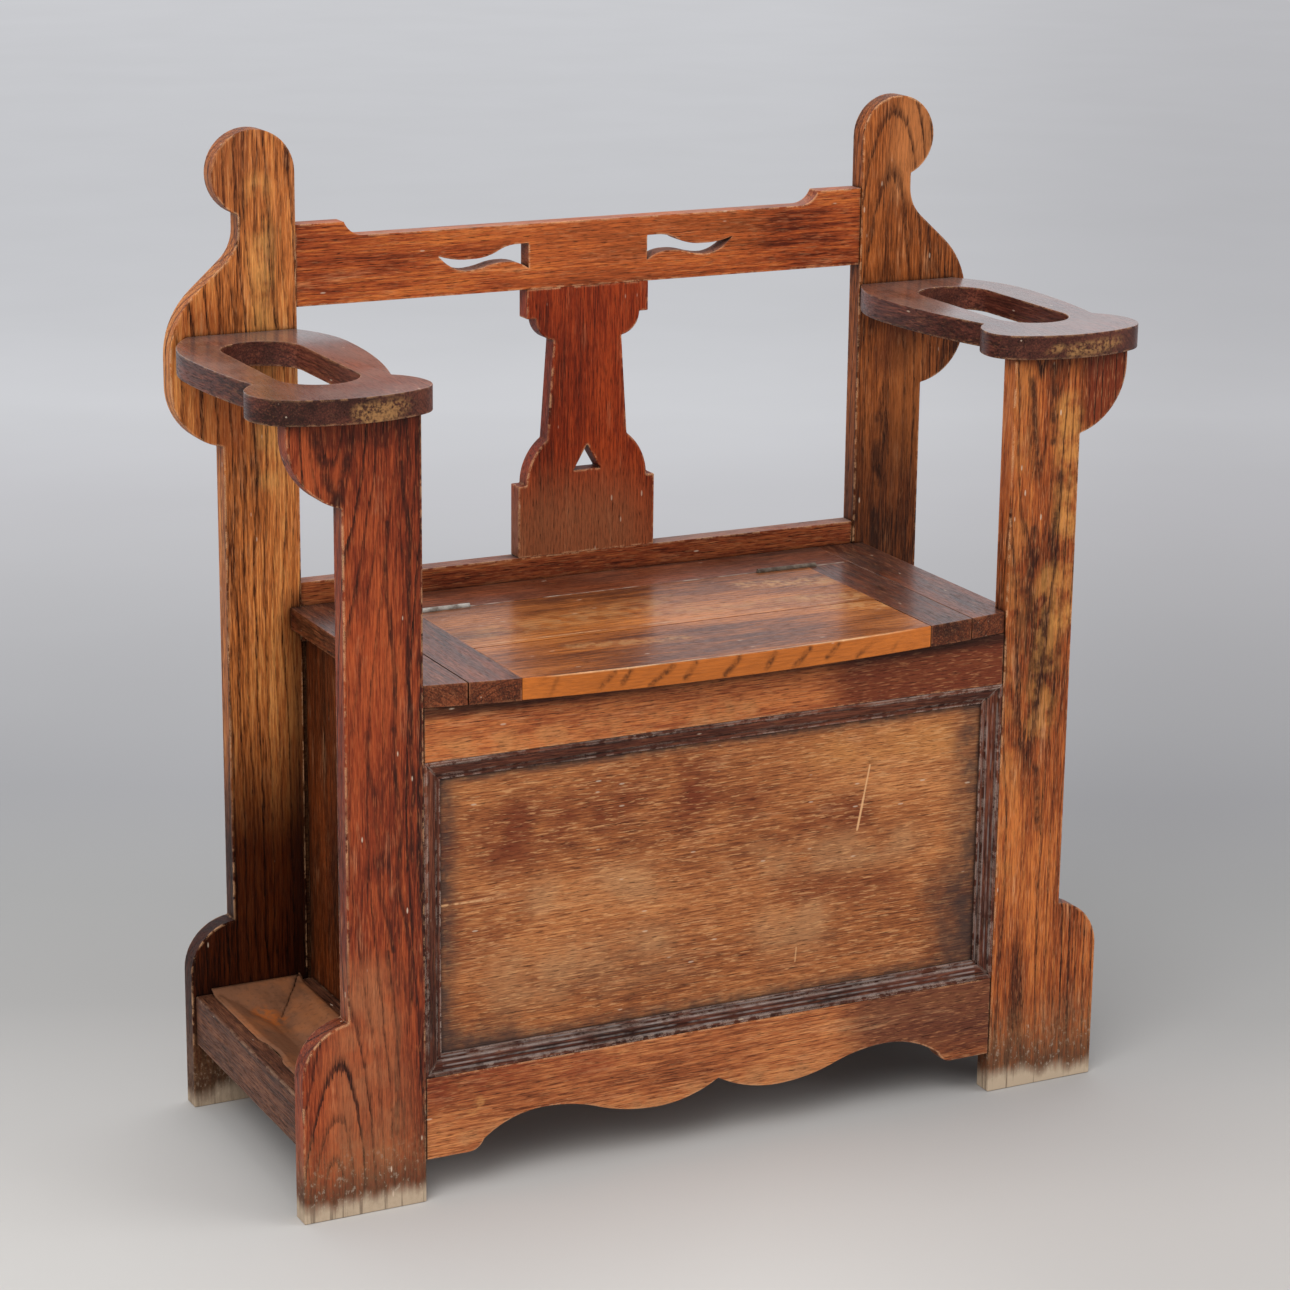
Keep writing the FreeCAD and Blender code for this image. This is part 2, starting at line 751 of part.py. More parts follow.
def build_back():
    """The pierced top rail, the splat and the lower rail."""
    top = top_rail_top
    raised = top + s["top_rail_step"]
    step_radius = swept_radius(s["top_rail_step"], s["top_rail_step_run"])
    inside = s["top_rail_step_reach"] - s["top_rail_step_run"]
    start = (-half_clear, top_rail_bottom)
    steps = [
        ((half_clear, top_rail_bottom),),
        ((half_clear, raised),),
        ((s["top_rail_step_reach"], raised),),
        ((inside, top), step_radius, -1),
        ((-inside, top),),
        ((-s["top_rail_step_reach"], raised), step_radius, -1),
        ((-half_clear, raised),),
        (start,),
    ]
    rail = shaped("top_rail", "XZ_Plane", start, steps, s["back_thickness"], [cutout_steps(1), cutout_steps(-1)])
    place(rail, ZERO, back_rear, ZERO)

    def splat_tenon(name, low, high):
        """The tenon at one end of the splat, between two heights."""
        middle = back_face + s["back_thickness"] / 2
        half = s["tenon_thickness"] / 2
        return across(name, s["splat_neck_width"] / 2, (middle - half, low), (middle + half, high))

    head_tenon = splat_tenon("splat_head_tenon", top_rail_bottom, top_rail_bottom + s["splat_tenon_height"])
    foot_tenon = splat_tenon("splat_foot_tenon", lower_rail_top - s["splat_tenon_height"], lower_rail_top)
    keep("back_top_rail", cut("back_top_rail", fuse("top_rail_tenoned", [rail] + pair_of([top_rail_tenon])),
                              [head_tenon]))

    lower = across("lower_rail", half_clear, (back_face, lower_rail_bottom), (back_rear, lower_rail_top))
    keep("back_lower_rail", cut("back_lower_rail", fuse("lower_rail_tenoned", [lower] + pair_of([lower_rail_tenon])),
                                [foot_tenon, chest_back_panel] + seat_bearer_screw_holes))

    splat = shaped("splat", "XZ_Plane", (s["splat_cap_width"] / 2, top_rail_bottom), splat_steps(),
                   s["back_thickness"], [splat_piercing()])
    place(splat, ZERO, back_rear, ZERO)
    keep("back_splat", fuse("back_splat", [splat, head_tenon, foot_tenon]))


def splat_steps():
    """Cap, collar, tapering shaft, arched base and block of the splat, down one side and up the other."""
    cap = s["splat_cap_width"] / 2
    collar = s["splat_collar_width"] / 2
    neck = s["splat_neck_width"] / 2
    foot = s["splat_foot_width"] / 2
    arch = s["splat_arch_width"] / 2
    block = s["splat_block_width"] / 2
    bottom = lower_rail_top
    cap_foot, neck_top, base, arch_foot, _ = (bottom + splat_height * share for share in SPLAT_SHARES)
    collar_radius = swept_radius(collar - neck, cap_foot - neck_top)
    arch_radius = swept_radius(arch - foot, base - arch_foot)
    return [
        ((cap, cap_foot),),
        ((collar, cap_foot),),
        ((neck, neck_top), collar_radius, -1),
        ((foot, base),),
        ((arch, arch_foot), arch_radius, -1),
        ((block, arch_foot),),
        ((block, bottom),),
        ((-block, bottom),),
        ((-block, arch_foot),),
        ((-arch, arch_foot),),
        ((-foot, base), arch_radius, -1),
        ((-neck, neck_top),),
        ((-collar, cap_foot), collar_radius, -1),
        ((-cap, cap_foot),),
        ((-cap, top_rail_bottom),),
        ((cap, top_rail_bottom),),
    ]


def splat_piercing():
    """The small three-cornered hole in the base of the splat."""
    base = lower_rail_top + splat_height * SPLAT_SHARES[-1]
    half = s["splat_piercing_width"] / 2
    return (half, base), [
        ((ZERO, base + s["splat_piercing_height"]),),
        ((-half, base),),
        ((half, base),),
    ]


# the front edge of the whole seat is one shallow bow
bow_rise = s["lid_overhang"] + s["seat_end_setback"]
bow_radius = swept_radius(bow_rise, half_clear)


def bow_depth(x):
    """Depth of the seat's bowed front edge at a distance from the middle."""
    return bow_radius - (bow_radius * bow_radius - x * x).root() - s["lid_overhang"]


lid_board_half = lid_half_width - s["cleat_width"]


def hinge_pair():
    """The two butt hinges, and what each side of the joint loses to them."""
    end = lid_half_width - s["hinge_inset"]
    start = end - s["hinge_length"]
    half_gap = s["hinge_leaf_gap"] / 2
    leaf_foot = hinge_axis_height - s["hinge_leaf_height"]
    pitch = s["hinge_length"] / KNUCKLE_COUNT
    reach = s["knuckle_radius"] + s["knuckle_clearance"]
    lid_plate = box("hinge_lid_plate",
                    (start, hinge_axis_depth - half_gap - s["hinge_leaf_thickness"], leaf_foot),
                    (end, hinge_axis_depth - half_gap, hinge_axis_height))
    fixed_plate = box("hinge_fixed_plate",
                      (start, hinge_axis_depth + half_gap, leaf_foot),
                      (end, hinge_axis_depth + half_gap + s["hinge_leaf_thickness"], hinge_axis_height))
    barrels = {"lid": [], "fixed": []}
    clears = {"lid": [], "fixed": []}
    for number in range(KNUCKLE_COUNT):
        owner, other = ("fixed", "lid") if number % 2 == 0 else ("lid", "fixed")
        near = start + pitch * number
        centre = (near + s["knuckle_gap"] / 2, hinge_axis_depth, hinge_axis_height)
        barrels[owner].append(rod(f"knuckle_{number + 1}", centre, "+x", s["knuckle_radius"],
                                  pitch - s["knuckle_gap"]))
        clears[other].append(box(
            f"knuckle_clear_{number + 1}",
            (near, hinge_axis_depth - s["overrun"], hinge_axis_height - reach),
            (near + pitch, hinge_axis_depth + s["overrun"], hinge_axis_height + s["overrun"])))
    pin_start = (start - s["pin_overhang"], hinge_axis_depth, hinge_axis_height)
    pin_length = s["hinge_length"] + s["pin_overhang"] * 2
    pin = rod("hinge_pin", pin_start, "+x", s["pin_radius"], pin_length)
    bore = rod("hinge_bore", pin_start, "+x", s["pin_radius"] + s["pin_clearance"], pin_length)
    groove = rod("hinge_groove", pin_start, "+x", reach, pin_length)
    plates = {"lid": lid_plate, "fixed": fixed_plate}
    faces = {"lid": hinge_axis_depth - half_gap, "fixed": hinge_axis_depth + half_gap}
    ways = {"lid": "-y", "fixed": "+y"}
    recesses = {}
    screw_sets = {}
    for side, plate in plates.items():
        heads = [(start + s["hinge_length"] * share, faces[side], hinge_axis_height - s["hinge_screw_drop"])
                 for share in HINGE_SCREW_SHARES]
        solids, holes = screws(f"hinge_screw_{side}", heads, ways[side], s["hinge_screw_length"], "hinge")
        screw_sets[side] = solids
        recesses[side] = [plate, groove] + holes
        trimmed = cut(f"hinge_{side}_trimmed", plate, clears[side] + holes)
        leaf = cut(f"hinge_{side}_leaf_right", fuse(f"hinge_{side}_joined", [trimmed] + barrels[side]), [bore])
        keep(f"hinge_{side}_leaf_right", leaf)
        keep(f"hinge_{side}_leaf_left", mirrored(f"hinge_{side}_leaf_left", leaf))
    keep_pair("hinge_pin", pin)
    for side, solids in screw_sets.items():
        keep(f"hinge_screws_{side}", group(f"hinge_screws_{side}", pair_of(solids)))
    return {side: pair_of(cutters) for side, cutters in recesses.items()}


hinge_recess = hinge_pair()


def build_lid():
    """Two boards between breadboard cleats, with one bowed front edge."""
    middle = seat_bottom + (s["seat_thickness"] - s["tongue_thickness"]) / 2
    inset = s["tongue_clearance"]
    end_tongue = across("lid_end_tongue", lid_board_half + s["tongue_depth"] - inset,
                        (s["tongue_stop"], middle), (lid_depth - s["tongue_stop"], middle + s["tongue_thickness"]))
    end_groove = across("lid_end_groove", lid_board_half + s["tongue_depth"],
                        (s["tongue_stop"], middle), (lid_depth - s["tongue_stop"], middle + s["tongue_thickness"]))
    long_tongue = across("lid_long_tongue", lid_board_half,
                         (s["lid_joint_depth"], middle),
                         (s["lid_joint_depth"] + s["tongue_depth"] - inset, middle + s["tongue_thickness"]))
    long_groove = across("lid_long_groove", lid_board_half,
                         (s["lid_joint_depth"], middle),
                         (s["lid_joint_depth"] + s["tongue_depth"], middle + s["tongue_thickness"]))
    front_half = across("lid_front_half", lid_board_half + s["tongue_depth"],
                        (ZERO, middle), (s["lid_joint_depth"], middle + s["tongue_thickness"]))
    rear_half = across("lid_rear_half", lid_board_half + s["tongue_depth"],
                       (s["lid_joint_depth"] + s["tongue_depth"], middle),
                       (lid_depth, middle + s["tongue_thickness"]))

    start = (-lid_board_half, bow_depth(lid_board_half))
    front = shaped("lid_front", "XY_Plane", start, [
        ((lid_board_half, bow_depth(lid_board_half)), bow_radius, 1),
        ((lid_board_half, s["lid_joint_depth"]),),
        ((-lid_board_half, s["lid_joint_depth"]),),
        (start,),
    ], s["seat_thickness"])
    place(front, ZERO, ZERO, seat_bottom)
    front_tongue = common("lid_front_end_tongue", [end_tongue, front_half])
    keep("lid_board_front", fuse("lid_board_front", [front, front_tongue, long_tongue]))

    rear = across("lid_rear", lid_board_half, (s["lid_joint_depth"], seat_bottom), (lid_depth, s["seat_height"]))
    rear_tongue = common("lid_rear_end_tongue", [end_tongue, rear_half])
    keep("lid_board_rear", cut("lid_board_rear", fuse("lid_rear_tongued", [rear, rear_tongue]),
                               [long_groove] + hinge_recess["lid"]))

    start = (lid_board_half, bow_depth(lid_board_half))
    cleat = shaped("lid_cleat", "XY_Plane", start, [
        ((lid_half_width, bow_depth(lid_half_width)), bow_radius, 1),
        ((lid_half_width, lid_depth),),
        ((lid_board_half, lid_depth),),
        (start,),
    ], s["seat_thickness"])
    place(cleat, ZERO, ZERO, seat_bottom)
    keep_pair("lid_cleat", cut("lid_cleat_right", cleat, [end_groove] + hinge_recess["lid"]))


def vertical_screws(name, places, length):
    """Screws driven up from the underside of a bearer."""
    return screws(name, [(x, depth, lid_bearer_bottom) for x, depth in places], "+z", length)


seat_screws, seat_screw_holes = vertical_screws(
    "seat_screw",
    [((end_inner + side_inner) / 2, s["carcase_depth"] * share) for share in SEAT_SCREW_SHARES]
    + [(s["seat_bearer_screw_reach"], back_face - s["lid_bearer_height"] / 2)],
    s["seat_screw_length"])
seat_bearer_heads = [(s["seat_bearer_screw_reach"] / 2, back_face - s["lid_bearer_height"],
                      seat_bottom - s["lid_bearer_height"] / 4)]
seat_bearer_screws, seat_bearer_screw_holes_right = screws(
    "seat_bearer_screw", seat_bearer_heads, "+y", s["seat_screw_length"])
seat_bearer_screw_holes = pair_of(seat_bearer_screw_holes_right)
seat_screw_hole_pair = pair_of(seat_screw_holes)


def build_seat_frame():
    """The fixed boards beside and behind the lid, and the bearers under them."""
    outer = half_clear + s["seat_end_overhang"]
    start = (end_inner, bow_depth(end_inner))
    end = shaped("seat_end", "XY_Plane", start, [
        ((half_clear, bow_depth(half_clear)), bow_radius, 1),
        ((half_clear, upright_back),),
        ((outer, upright_back),),
        ((outer, rear_face),),
        ((half_clear, rear_face),),
        ((half_clear, back_face),),
        ((end_inner, back_face),),
        (start,),
    ], s["seat_thickness"])
    place(end, ZERO, ZERO, seat_bottom)
    keep_pair("seat_end", cut("seat_end_right", end, seat_screw_holes))

    rear = across("rear_board", end_inner,
                  (lid_depth + s["hinge_joint_gap"], seat_bottom), (back_face, s["seat_height"]))
    keep("seat_rear_board", cut("seat_rear_board", rear, hinge_recess["fixed"] + seat_screw_hole_pair))

    bearer = box("lid_bearer", (lid_bearer_inner, front_back, lid_bearer_bottom), (side_inner, back_face, seat_bottom))
    keep_pair("lid_bearer", cut("lid_bearer_right", bearer, lid_bearer_holes + seat_screw_holes))
    rear_bearer = across("rear_bearer", lid_bearer_inner,
                         (back_face - s["lid_bearer_height"], lid_bearer_bottom), (back_face, seat_bottom))
    keep("seat_rear_bearer", cut("seat_rear_bearer", rear_bearer, seat_bearer_screw_holes + seat_screw_hole_pair))
    keep("seat_screws", group("seat_screws", pair_of(seat_screws) + pair_of(seat_bearer_screws)))


def side_screws(name, face, way, height, length, shares, low, high):
    """A row of level screws through a bearer into the side of the chest."""
    run = high - low
    heads = [(face, low + run * share, height) for share in shares]
    return screws(name, heads, way, length)


lid_bearer_screws, lid_bearer_holes = side_screws(
    "lid_bearer_screw", lid_bearer_inner, "+x", lid_bearer_bottom + s["lid_bearer_height"] / 2,
    s["bearer_screw_length"], BEARER_SCREW_SHARES, front_back, back_face)
bottom_bearer_screws, bottom_bearer_holes = side_screws(
    "bottom_bearer_screw", bearer_inner, "+x", bearer_bottom + s["bearer_width"] / 2,
    s["bearer_screw_length"], BEARER_SCREW_SHARES, front_back + s["bearer_width"],
    back_panel_front - s["bearer_width"])
tray_bearer_screws, tray_bearer_holes = side_screws(
    "tray_bearer_screw", side_outer + s["tray_bearer_width"], "-x",
    stretcher_top - s["tray_bearer_height"] / 2, s["tray_screw_length"],
    SEAT_SCREW_SHARES, upright_back, rear_face)


def apron_steps():
    """The scalloped lower edge: cusp, lobes, arches and flat feet, from left to right."""
    places = [
        (s["apron_foot_reach"], s["apron_foot"], None, 0),
        (s["apron_spring_reach"], s["apron_spring"],
         swept_radius(s["apron_spring"] - s["apron_foot"], s["apron_foot_reach"] - s["apron_spring_reach"]), 1),
        (s["apron_arch_reach"], s["apron_arch"],
         swept_radius(s["apron_arch"] - s["apron_spring"], s["apron_spring_reach"] - s["apron_arch_reach"]), -1),
        (s["apron_bend_reach"], s["apron_bend"],
         swept_radius(s["apron_arch"] - s["apron_bend"], s["apron_arch_reach"] - s["apron_bend_reach"]), -1),
        (s["apron_lobe_reach"], s["apron_lobe"],
         swept_radius(s["apron_bend"] - s["apron_lobe"], s["apron_bend_reach"] - s["apron_lobe_reach"]), 1),
        (ZERO, s["apron_cusp"],
         swept_radius(s["apron_cusp"] - s["apron_lobe"], s["apron_lobe_reach"]), 1),
    ]
    start = (-half_clear, s["apron_foot"])
    steps = []
    for reach, height, radius, turn in places:
        left = ZERO if reach is ZERO else -reach
        steps.append(((left, height),) if radius is None else ((left, height), radius, turn))
    # the right half is the left one walked backwards, and its arcs turn to the same side
    for earlier, later in zip(reversed(places[:-1]), reversed(places)):
        steps.append(((earlier[0], earlier[1]), later[2], later[3]))
    steps.append(((half_clear, s["apron_foot"]),))
    steps.append(((half_clear, s["apron_top"]),))
    steps.append(((-half_clear, s["apron_top"]),))
    steps.append((start,))
    return start, steps


def moulding_profile(turned):
    """The stepped section of the panel moulding: fillet, step, ovolo and inner fillet.

    The first coordinate runs from the frame towards the panel, the second from the
    panel's face forwards. A turned profile swaps them.
    """
    width = s["moulding_width"]
    front = s["panel_recess"] - s["front_setback"]
    shelf = front - s["moulding_step"]
    hollow = s["moulding_inner_fillet"]
    round_foot = width - hollow - s["moulding_bead"]
    path = [
        ((ZERO, ZERO), None, 0),
        ((ZERO, front), None, 0),
        ((s["moulding_fillet"], front), None, 0),
        ((s["moulding_fillet"], shelf), None, 0),
        ((round_foot, hollow + s["moulding_step"]),
         swept_radius(shelf - hollow - s["moulding_step"], round_foot - s["moulding_fillet"]), -1),
        ((round_foot, hollow), None, 0),
        ((width, hollow), None, 0),
        ((width, ZERO), None, 0),
    ]
    points = [((b, a) if turned else (a, b), radius, turn) for (a, b), radius, turn in path]
    start = points[0][0]
    steps = []
    for point, radius, turn in points[1:]:
        steps.append((point,) if radius is None else (point, radius, -turn if turned else turn))
    steps.append((start,))
    return start, steps


def build_moulding():
    """Four mitred strips round the front panel."""
    width = s["moulding_width"]
    low = s["apron_top"]
    high = front_rail_bottom
    rise = high - low
    face = s["panel_recess"]
    start, steps = moulding_profile(True)
    # a level strip is drawn on the YZ plane, with depth counted forwards from the panel's face
    level_steps = [((-step[0][0], step[0][1]),) if len(step) == 1
                   else ((-step[0][0], step[0][1]), step[1], -step[2]) for step in steps]
    level_start = (-start[0], start[1])
    level = shaped("moulding_level", "YZ_Plane", level_start, level_steps, s["clear_width"])
    place(level, -half_clear, face, low)
    level_mitre = shaped("moulding_level_mitre", "XZ_Plane", (-half_clear, low), [
        ((half_clear, low),),
        ((half_clear - width, low + width),),
        ((width - half_clear, low + width),),
        ((-half_clear, low),),
    ], face)
    place(level_mitre, ZERO, face, ZERO)
    bottom = common("moulding_bottom", [level, level_mitre])
    keep("moulding_bottom", bottom)
    top = doc.addObject("Part::Mirroring", "moulding_top")
    top.Source = bottom
    top.Normal = FreeCAD.Vector(0, 0, 1)
    top.setExpression("Base.z", ((low + high) / 2).formula)
    keep("moulding_top", top)

    start, steps = moulding_profile(False)
    upright_steps = []
    for step in steps:
        point = (-step[0][0], -step[0][1])
        upright_steps.append((point,) if len(step) == 1 else (point, step[1], step[2]))
    upright = shaped("moulding_upright", "XY_Plane", (-start[0], -start[1]), upright_steps, rise)
    place(upright, half_clear, face, low)
    upright_mitre = shaped("moulding_upright_mitre", "XZ_Plane", (half_clear, low), [
        ((half_clear, high),),
        ((half_clear - width, high - width),),
        ((half_clear - width, low + width),),
        ((half_clear, low),),
    ], face)
    place(upright_mitre, ZERO, face, ZERO)
    keep_pair("moulding", common("moulding_right", [upright, upright_mitre]))


def build_front():
    """Front rail and scalloped apron, which hold the panel between them."""
    rail = across("front_rail", half_clear, (s["front_setback"], front_rail_bottom), (front_back, seat_bottom))
    keep("front_top_rail", cut("front_top_rail", fuse("front_rail_tenoned", [rail] + pair_of([front_rail_tenon])), [front_panel]))
    start, steps = apron_steps()
    apron = shaped("apron", "XZ_Plane", start, steps, s["front_thickness"])
    place(apron, ZERO, front_back, ZERO)
    keep("front_apron", cut("front_apron", fuse("apron_tenoned", [apron] + pair_of([apron_tenon])), [front_panel]))
    build_moulding()


def build_chest():
    """Sides, bottom, bearers and corner blocks of the box."""
    side = box("side", (side_inner, front_back, s["side_bottom"]), (side_outer, back_panel_front, seat_bottom))
    lower_rail_block = across("lower_rail_block", half_clear, (back_face, lower_rail_bottom),
                              (back_rear, lower_rail_top))
    keep_pair("side_panel", cut("side_panel_right", side, [lower_rail_block] + lid_bearer_holes
                                + bottom_bearer_holes + tray_bearer_holes))
    keep("chest_bottom_board", across("chest_bottom_board", side_inner,
                                      (front_back, s["apron_top"]), (back_panel_front, bottom_top)))
    bearer = box("bottom_bearer", (bearer_inner, front_back, bearer_bottom),
                 (side_inner, back_panel_front, s["apron_top"]))
    keep_pair("bottom_bearer", cut("bottom_bearer_right", bearer, bottom_bearer_holes))
    keep("bottom_bearer_front", across("bottom_bearer_front", bearer_inner, (front_back, bearer_bottom),
                                       (front_back + s["bearer_width"], s["apron_top"])))
    keep("bottom_bearer_rear", across("bottom_bearer_rear", bearer_inner,
                                      (back_panel_front - s["bearer_width"], bearer_bottom),
                                      (back_panel_front, s["apron_top"])))
    for end, depth in (("front", front_back), ("rear", back_panel_front - s["bearer_width"])):
        block = box(f"block_{end}", (bearer_inner, depth, bottom_top),
                    (side_inner, depth + s["bearer_width"], lid_bearer_bottom))
        keep_pair(f"corner_block_{end}", block)
    keep("lid_bearer_screws", group("lid_bearer_screws", pair_of(lid_bearer_screws)))
    keep("bottom_bearer_screws", group("bottom_bearer_screws", pair_of(bottom_bearer_screws)))
    keep("tray_bearer_screws", group("tray_bearer_screws", pair_of(tray_bearer_screws)))


def funnel(name, left, right, near, far, top, fall):
    """A hipped dish that falls to a narrow gutter along its middle."""
    low_half = s["tray_low_width"] / 2
    wedge = doc.addObject("Part::Wedge", name)
    wedge.Placement = FreeCAD.Placement(FreeCAD.Vector(), FreeCAD.Rotation(FreeCAD.Vector(1, 0, 0), -90))
    width = right - left
    length = far - near
    bind(wedge, Xmin=ZERO, Xmax=width, Zmin=ZERO, Zmax=length, Ymin=ZERO, Ymax=fall,
         X2min=width / 2 - low_half, X2max=width / 2 + low_half,
         Z2min=s["tray_end_run"], Z2max=length - s["tray_end_run"])
    place(wedge, left, near, top)
    return wedge


def end_flap(name, foot, tip, low_edge, high_edge):
    """The edge of a tray's sheet that is turned up against an upright."""
    sheet = s["tray_sheet"]
    raised = stretcher_top + s["tray_end_lip"]
    start, steps = (foot, stretcher_top), [
        ((tip, raised),),
        ((tip, raised + sheet),),
        ((foot, stretcher_top + sheet),),
        ((foot, stretcher_top),),
    ]
    flap = shaped(name, "YZ_Plane", start, steps, high_edge - low_edge)
    place(flap, low_edge, ZERO, ZERO)
    return flap


def build_stands():
    """Stretchers, tray bearers and drip trays of the two stick stands."""
    stretcher = box("stretcher", (stretcher_inner, upright_back, s["stretcher_bottom"]),
                    (stretcher_outer, rear_face, stretcher_top))
    keep_pair("side_stretcher", fuse("side_stretcher_right", [stretcher, stretcher_tenon]))
    bearer_outer = side_outer + s["tray_bearer_width"]
    bearer = box("tray_bearer", (side_outer, upright_back, stretcher_top - s["tray_bearer_height"]),
                 (bearer_outer, rear_face, stretcher_top))
    keep_pair("tray_bearer", cut("tray_bearer_right", bearer, tray_bearer_holes))

    sheet = s["tray_sheet"]
    low_edge = bearer_outer - s["tray_bearer_rest"]
    high_edge = stretcher_inner + s["tray_rest"]
    near = upright_back + s["tray_end_gap"]
    far = rear_face - s["tray_end_gap"]
    near_fold = near + s["tray_end_flap"]
    far_fold = far - s["tray_end_flap"]
    rim = box("tray_rim", (low_edge, near_fold, stretcher_top), (high_edge, far_fold, stretcher_top + sheet))
    flaps = [end_flap("tray_near_flap", near_fold, near, low_edge, high_edge),
             end_flap("tray_far_flap", far_fold, far, low_edge, high_edge)]
    edges = (bearer_outer + s["tray_side_clearance"], stretcher_inner - s["tray_side_clearance"],
             near_fold, far_fold)
    outer = funnel("tray_outer", *edges, stretcher_top, s["tray_fall"])
    inner = funnel("tray_inner", *edges, stretcher_top + sheet, s["tray_fall"])
    keep_pair("drip_tray", cut("drip_tray_right", fuse("tray_blank", [rim, outer] + flaps), [inner]))


build_uprights()
build_arms()
build_back()
build_lid()
build_seat_frame()
build_front()
build_chest()
build_stands()
keep("arm_screws", group("arm_screws", pair_of(arm_screws)))

doc.recompute()
for thing in doc.Objects:
    if "Invalid" in thing.State or "Error" in thing.State:
        raise RuntimeError(f"{thing.Name} failed to rebuild: {thing.State}")
for name, solid in pieces.items():
    if solid.Shape.isNull() or not solid.Shape.isValid() or not solid.Shape.Solids:
        raise RuntimeError(f"{name} has no sound shape")

os.makedirs("parts", exist_ok=True)
for name, solid in pieces.items():
    solid.Shape.exportStep(f"parts/{name}.step")
print(f"{len(pieces)} pieces written")
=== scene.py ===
import logging
import math
from dataclasses import dataclass
from enum import Enum

import bmesh
import bpy
from mathutils import Matrix, Vector


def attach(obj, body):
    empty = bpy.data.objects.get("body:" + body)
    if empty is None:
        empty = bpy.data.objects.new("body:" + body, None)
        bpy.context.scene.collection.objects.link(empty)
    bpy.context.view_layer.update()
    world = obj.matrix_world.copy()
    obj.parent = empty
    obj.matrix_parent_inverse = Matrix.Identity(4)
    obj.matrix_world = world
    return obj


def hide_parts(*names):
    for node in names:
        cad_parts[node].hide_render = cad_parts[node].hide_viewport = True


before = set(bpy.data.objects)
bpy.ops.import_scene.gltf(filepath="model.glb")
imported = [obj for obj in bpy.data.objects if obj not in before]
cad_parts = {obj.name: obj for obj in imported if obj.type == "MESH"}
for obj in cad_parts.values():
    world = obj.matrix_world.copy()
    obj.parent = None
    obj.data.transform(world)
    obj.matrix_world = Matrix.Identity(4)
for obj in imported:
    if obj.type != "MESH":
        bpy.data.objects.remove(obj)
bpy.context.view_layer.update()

# A stained oak hall bench with a lidded box seat and a stick stand at each end.
# Lengths are in metres, in the frame of the solids: X to the right, Y to the back, Z up.
# Colours are written as 0 to 255 for red, green and blue.

log = logging.getLogger("hall_bench")
MM = 0.001
Colour = tuple[int, int, int]
Point = tuple[float, float, float]
Spot = tuple[float, float]

# what lies on the wood, what wears it down, and the shade and sheen painted on it
CORNER_GRIME_AND_SHADE = (34, 20, 15)
JOINT_SHADOW = (17, 9, 7)
DUST_AND_SHEEN = (158, 136, 126)
SPLINTER = (214, 190, 166)
FOOT_FADED = (150, 104, 68)
FOOT_STAINED = (72, 54, 42)
FOOT_CHALKY = (196, 178, 158)
FOOT_BARE = (200, 178, 152)
FOOT_CHECKED = (92, 72, 58)
TRAY_GRIME_AND_SHADE = (36, 24, 19)

# the smallest gap that still counts as one place in a mesh
TINY = 0.01 * MM
# eased edges: their facets, and the angles under which faces are flat and over which edges are sharp
EDGE_FACETS = 2
FLAT_ANGLE = math.radians(0.4)
SHARP_ANGLE = math.radians(32)
# the level ways straight into the picture and across it, by which the paper and the room shade
INTO_PICTURE = (0.449, 0.893, 0.0)
ACROSS_PICTURE = (0.893, -0.449, 0.0)


def linear(colour: Colour) -> tuple[float, float, float, float]:
    """Turn a written colour into the light that it stands for.

    Args:
        colour: Red, green and blue from 0 to 255.

    Returns:
        The colour as Blender's sockets take it, with full cover.
    """
    shares = [part / 255 for part in colour]
    lit = [share / 12.92 if share <= 0.04045 else ((share + 0.055) / 1.055) ** 2.4 for share in shares]
    return (lit[0], lit[1], lit[2], 1.0)


class Value:
    """A number that varies over a surface; arithmetic on it adds Math nodes."""

    def __init__(self, graph: "Graph", socket: bpy.types.NodeSocket) -> None:
        """Keep the graph and the socket that gives the number."""
        self.graph = graph
        self.socket = socket

    def __add__(self, other: "Value | float") -> "Value":
        """Add."""
        return self.graph.math("ADD", self, other)

    def __radd__(self, other: float) -> "Value":
        """Add to a plain number."""
        return self.graph.math("ADD", other, self)

    def __sub__(self, other: "Value | float") -> "Value":
        """Take away."""
        return self.graph.math("SUBTRACT", self, other)

    def __rsub__(self, other: float) -> "Value":
        """Take from a plain number."""
        return self.graph.math("SUBTRACT", other, self)

    def __mul__(self, other: "Value | float") -> "Value":
        """Multiply."""
        return self.graph.math("MULTIPLY", self, other)

    def __rmul__(self, other: float) -> "Value":
        """Multiply a plain number."""
        return self.graph.math("MULTIPLY", other, self)

    def __truediv__(self, other: "Value | float") -> "Value":
        """Divide."""
        return self.graph.math("DIVIDE", self, other)

    def __rtruediv__(self, other: float) -> "Value":
        """Divide a plain number."""
        return self.graph.math("DIVIDE", other, self)

    def __neg__(self) -> "Value":
        """Turn the sign round."""
        return self.graph.math("MULTIPLY", self, -1.0)

    def root(self) -> "Value":
        """Square root."""
        return self.graph.math("SQRT", self)

    def part(self) -> "Value":
        """What is left above the whole number."""
        return self.graph.math("FRACT", self)

    def whole(self) -> "Value":
        """The whole number below."""
        return self.graph.math("FLOOR", self)

    def over(self, low: float, high: float) -> "Value":
        """A soft step that is 0 up to one bound and 1 from the other.

        Args:
            low: Where the step starts.
            high: Where it is complete; below low, the step falls instead.

        Returns:
            The step, from 0 to 1.
        """
        step = self.graph.node(
            "ShaderNodeMapRange", {"interpolation_type": "SMOOTHSTEP"},
            {"Value": self, "From Min": low, "From Max": high})
        return Value(self.graph, step.outputs[0])

    def kept(self) -> "Value":
        """The number held between 0 and 1."""
        return self.graph.math("ADD", self, 0.0, clamp=True)


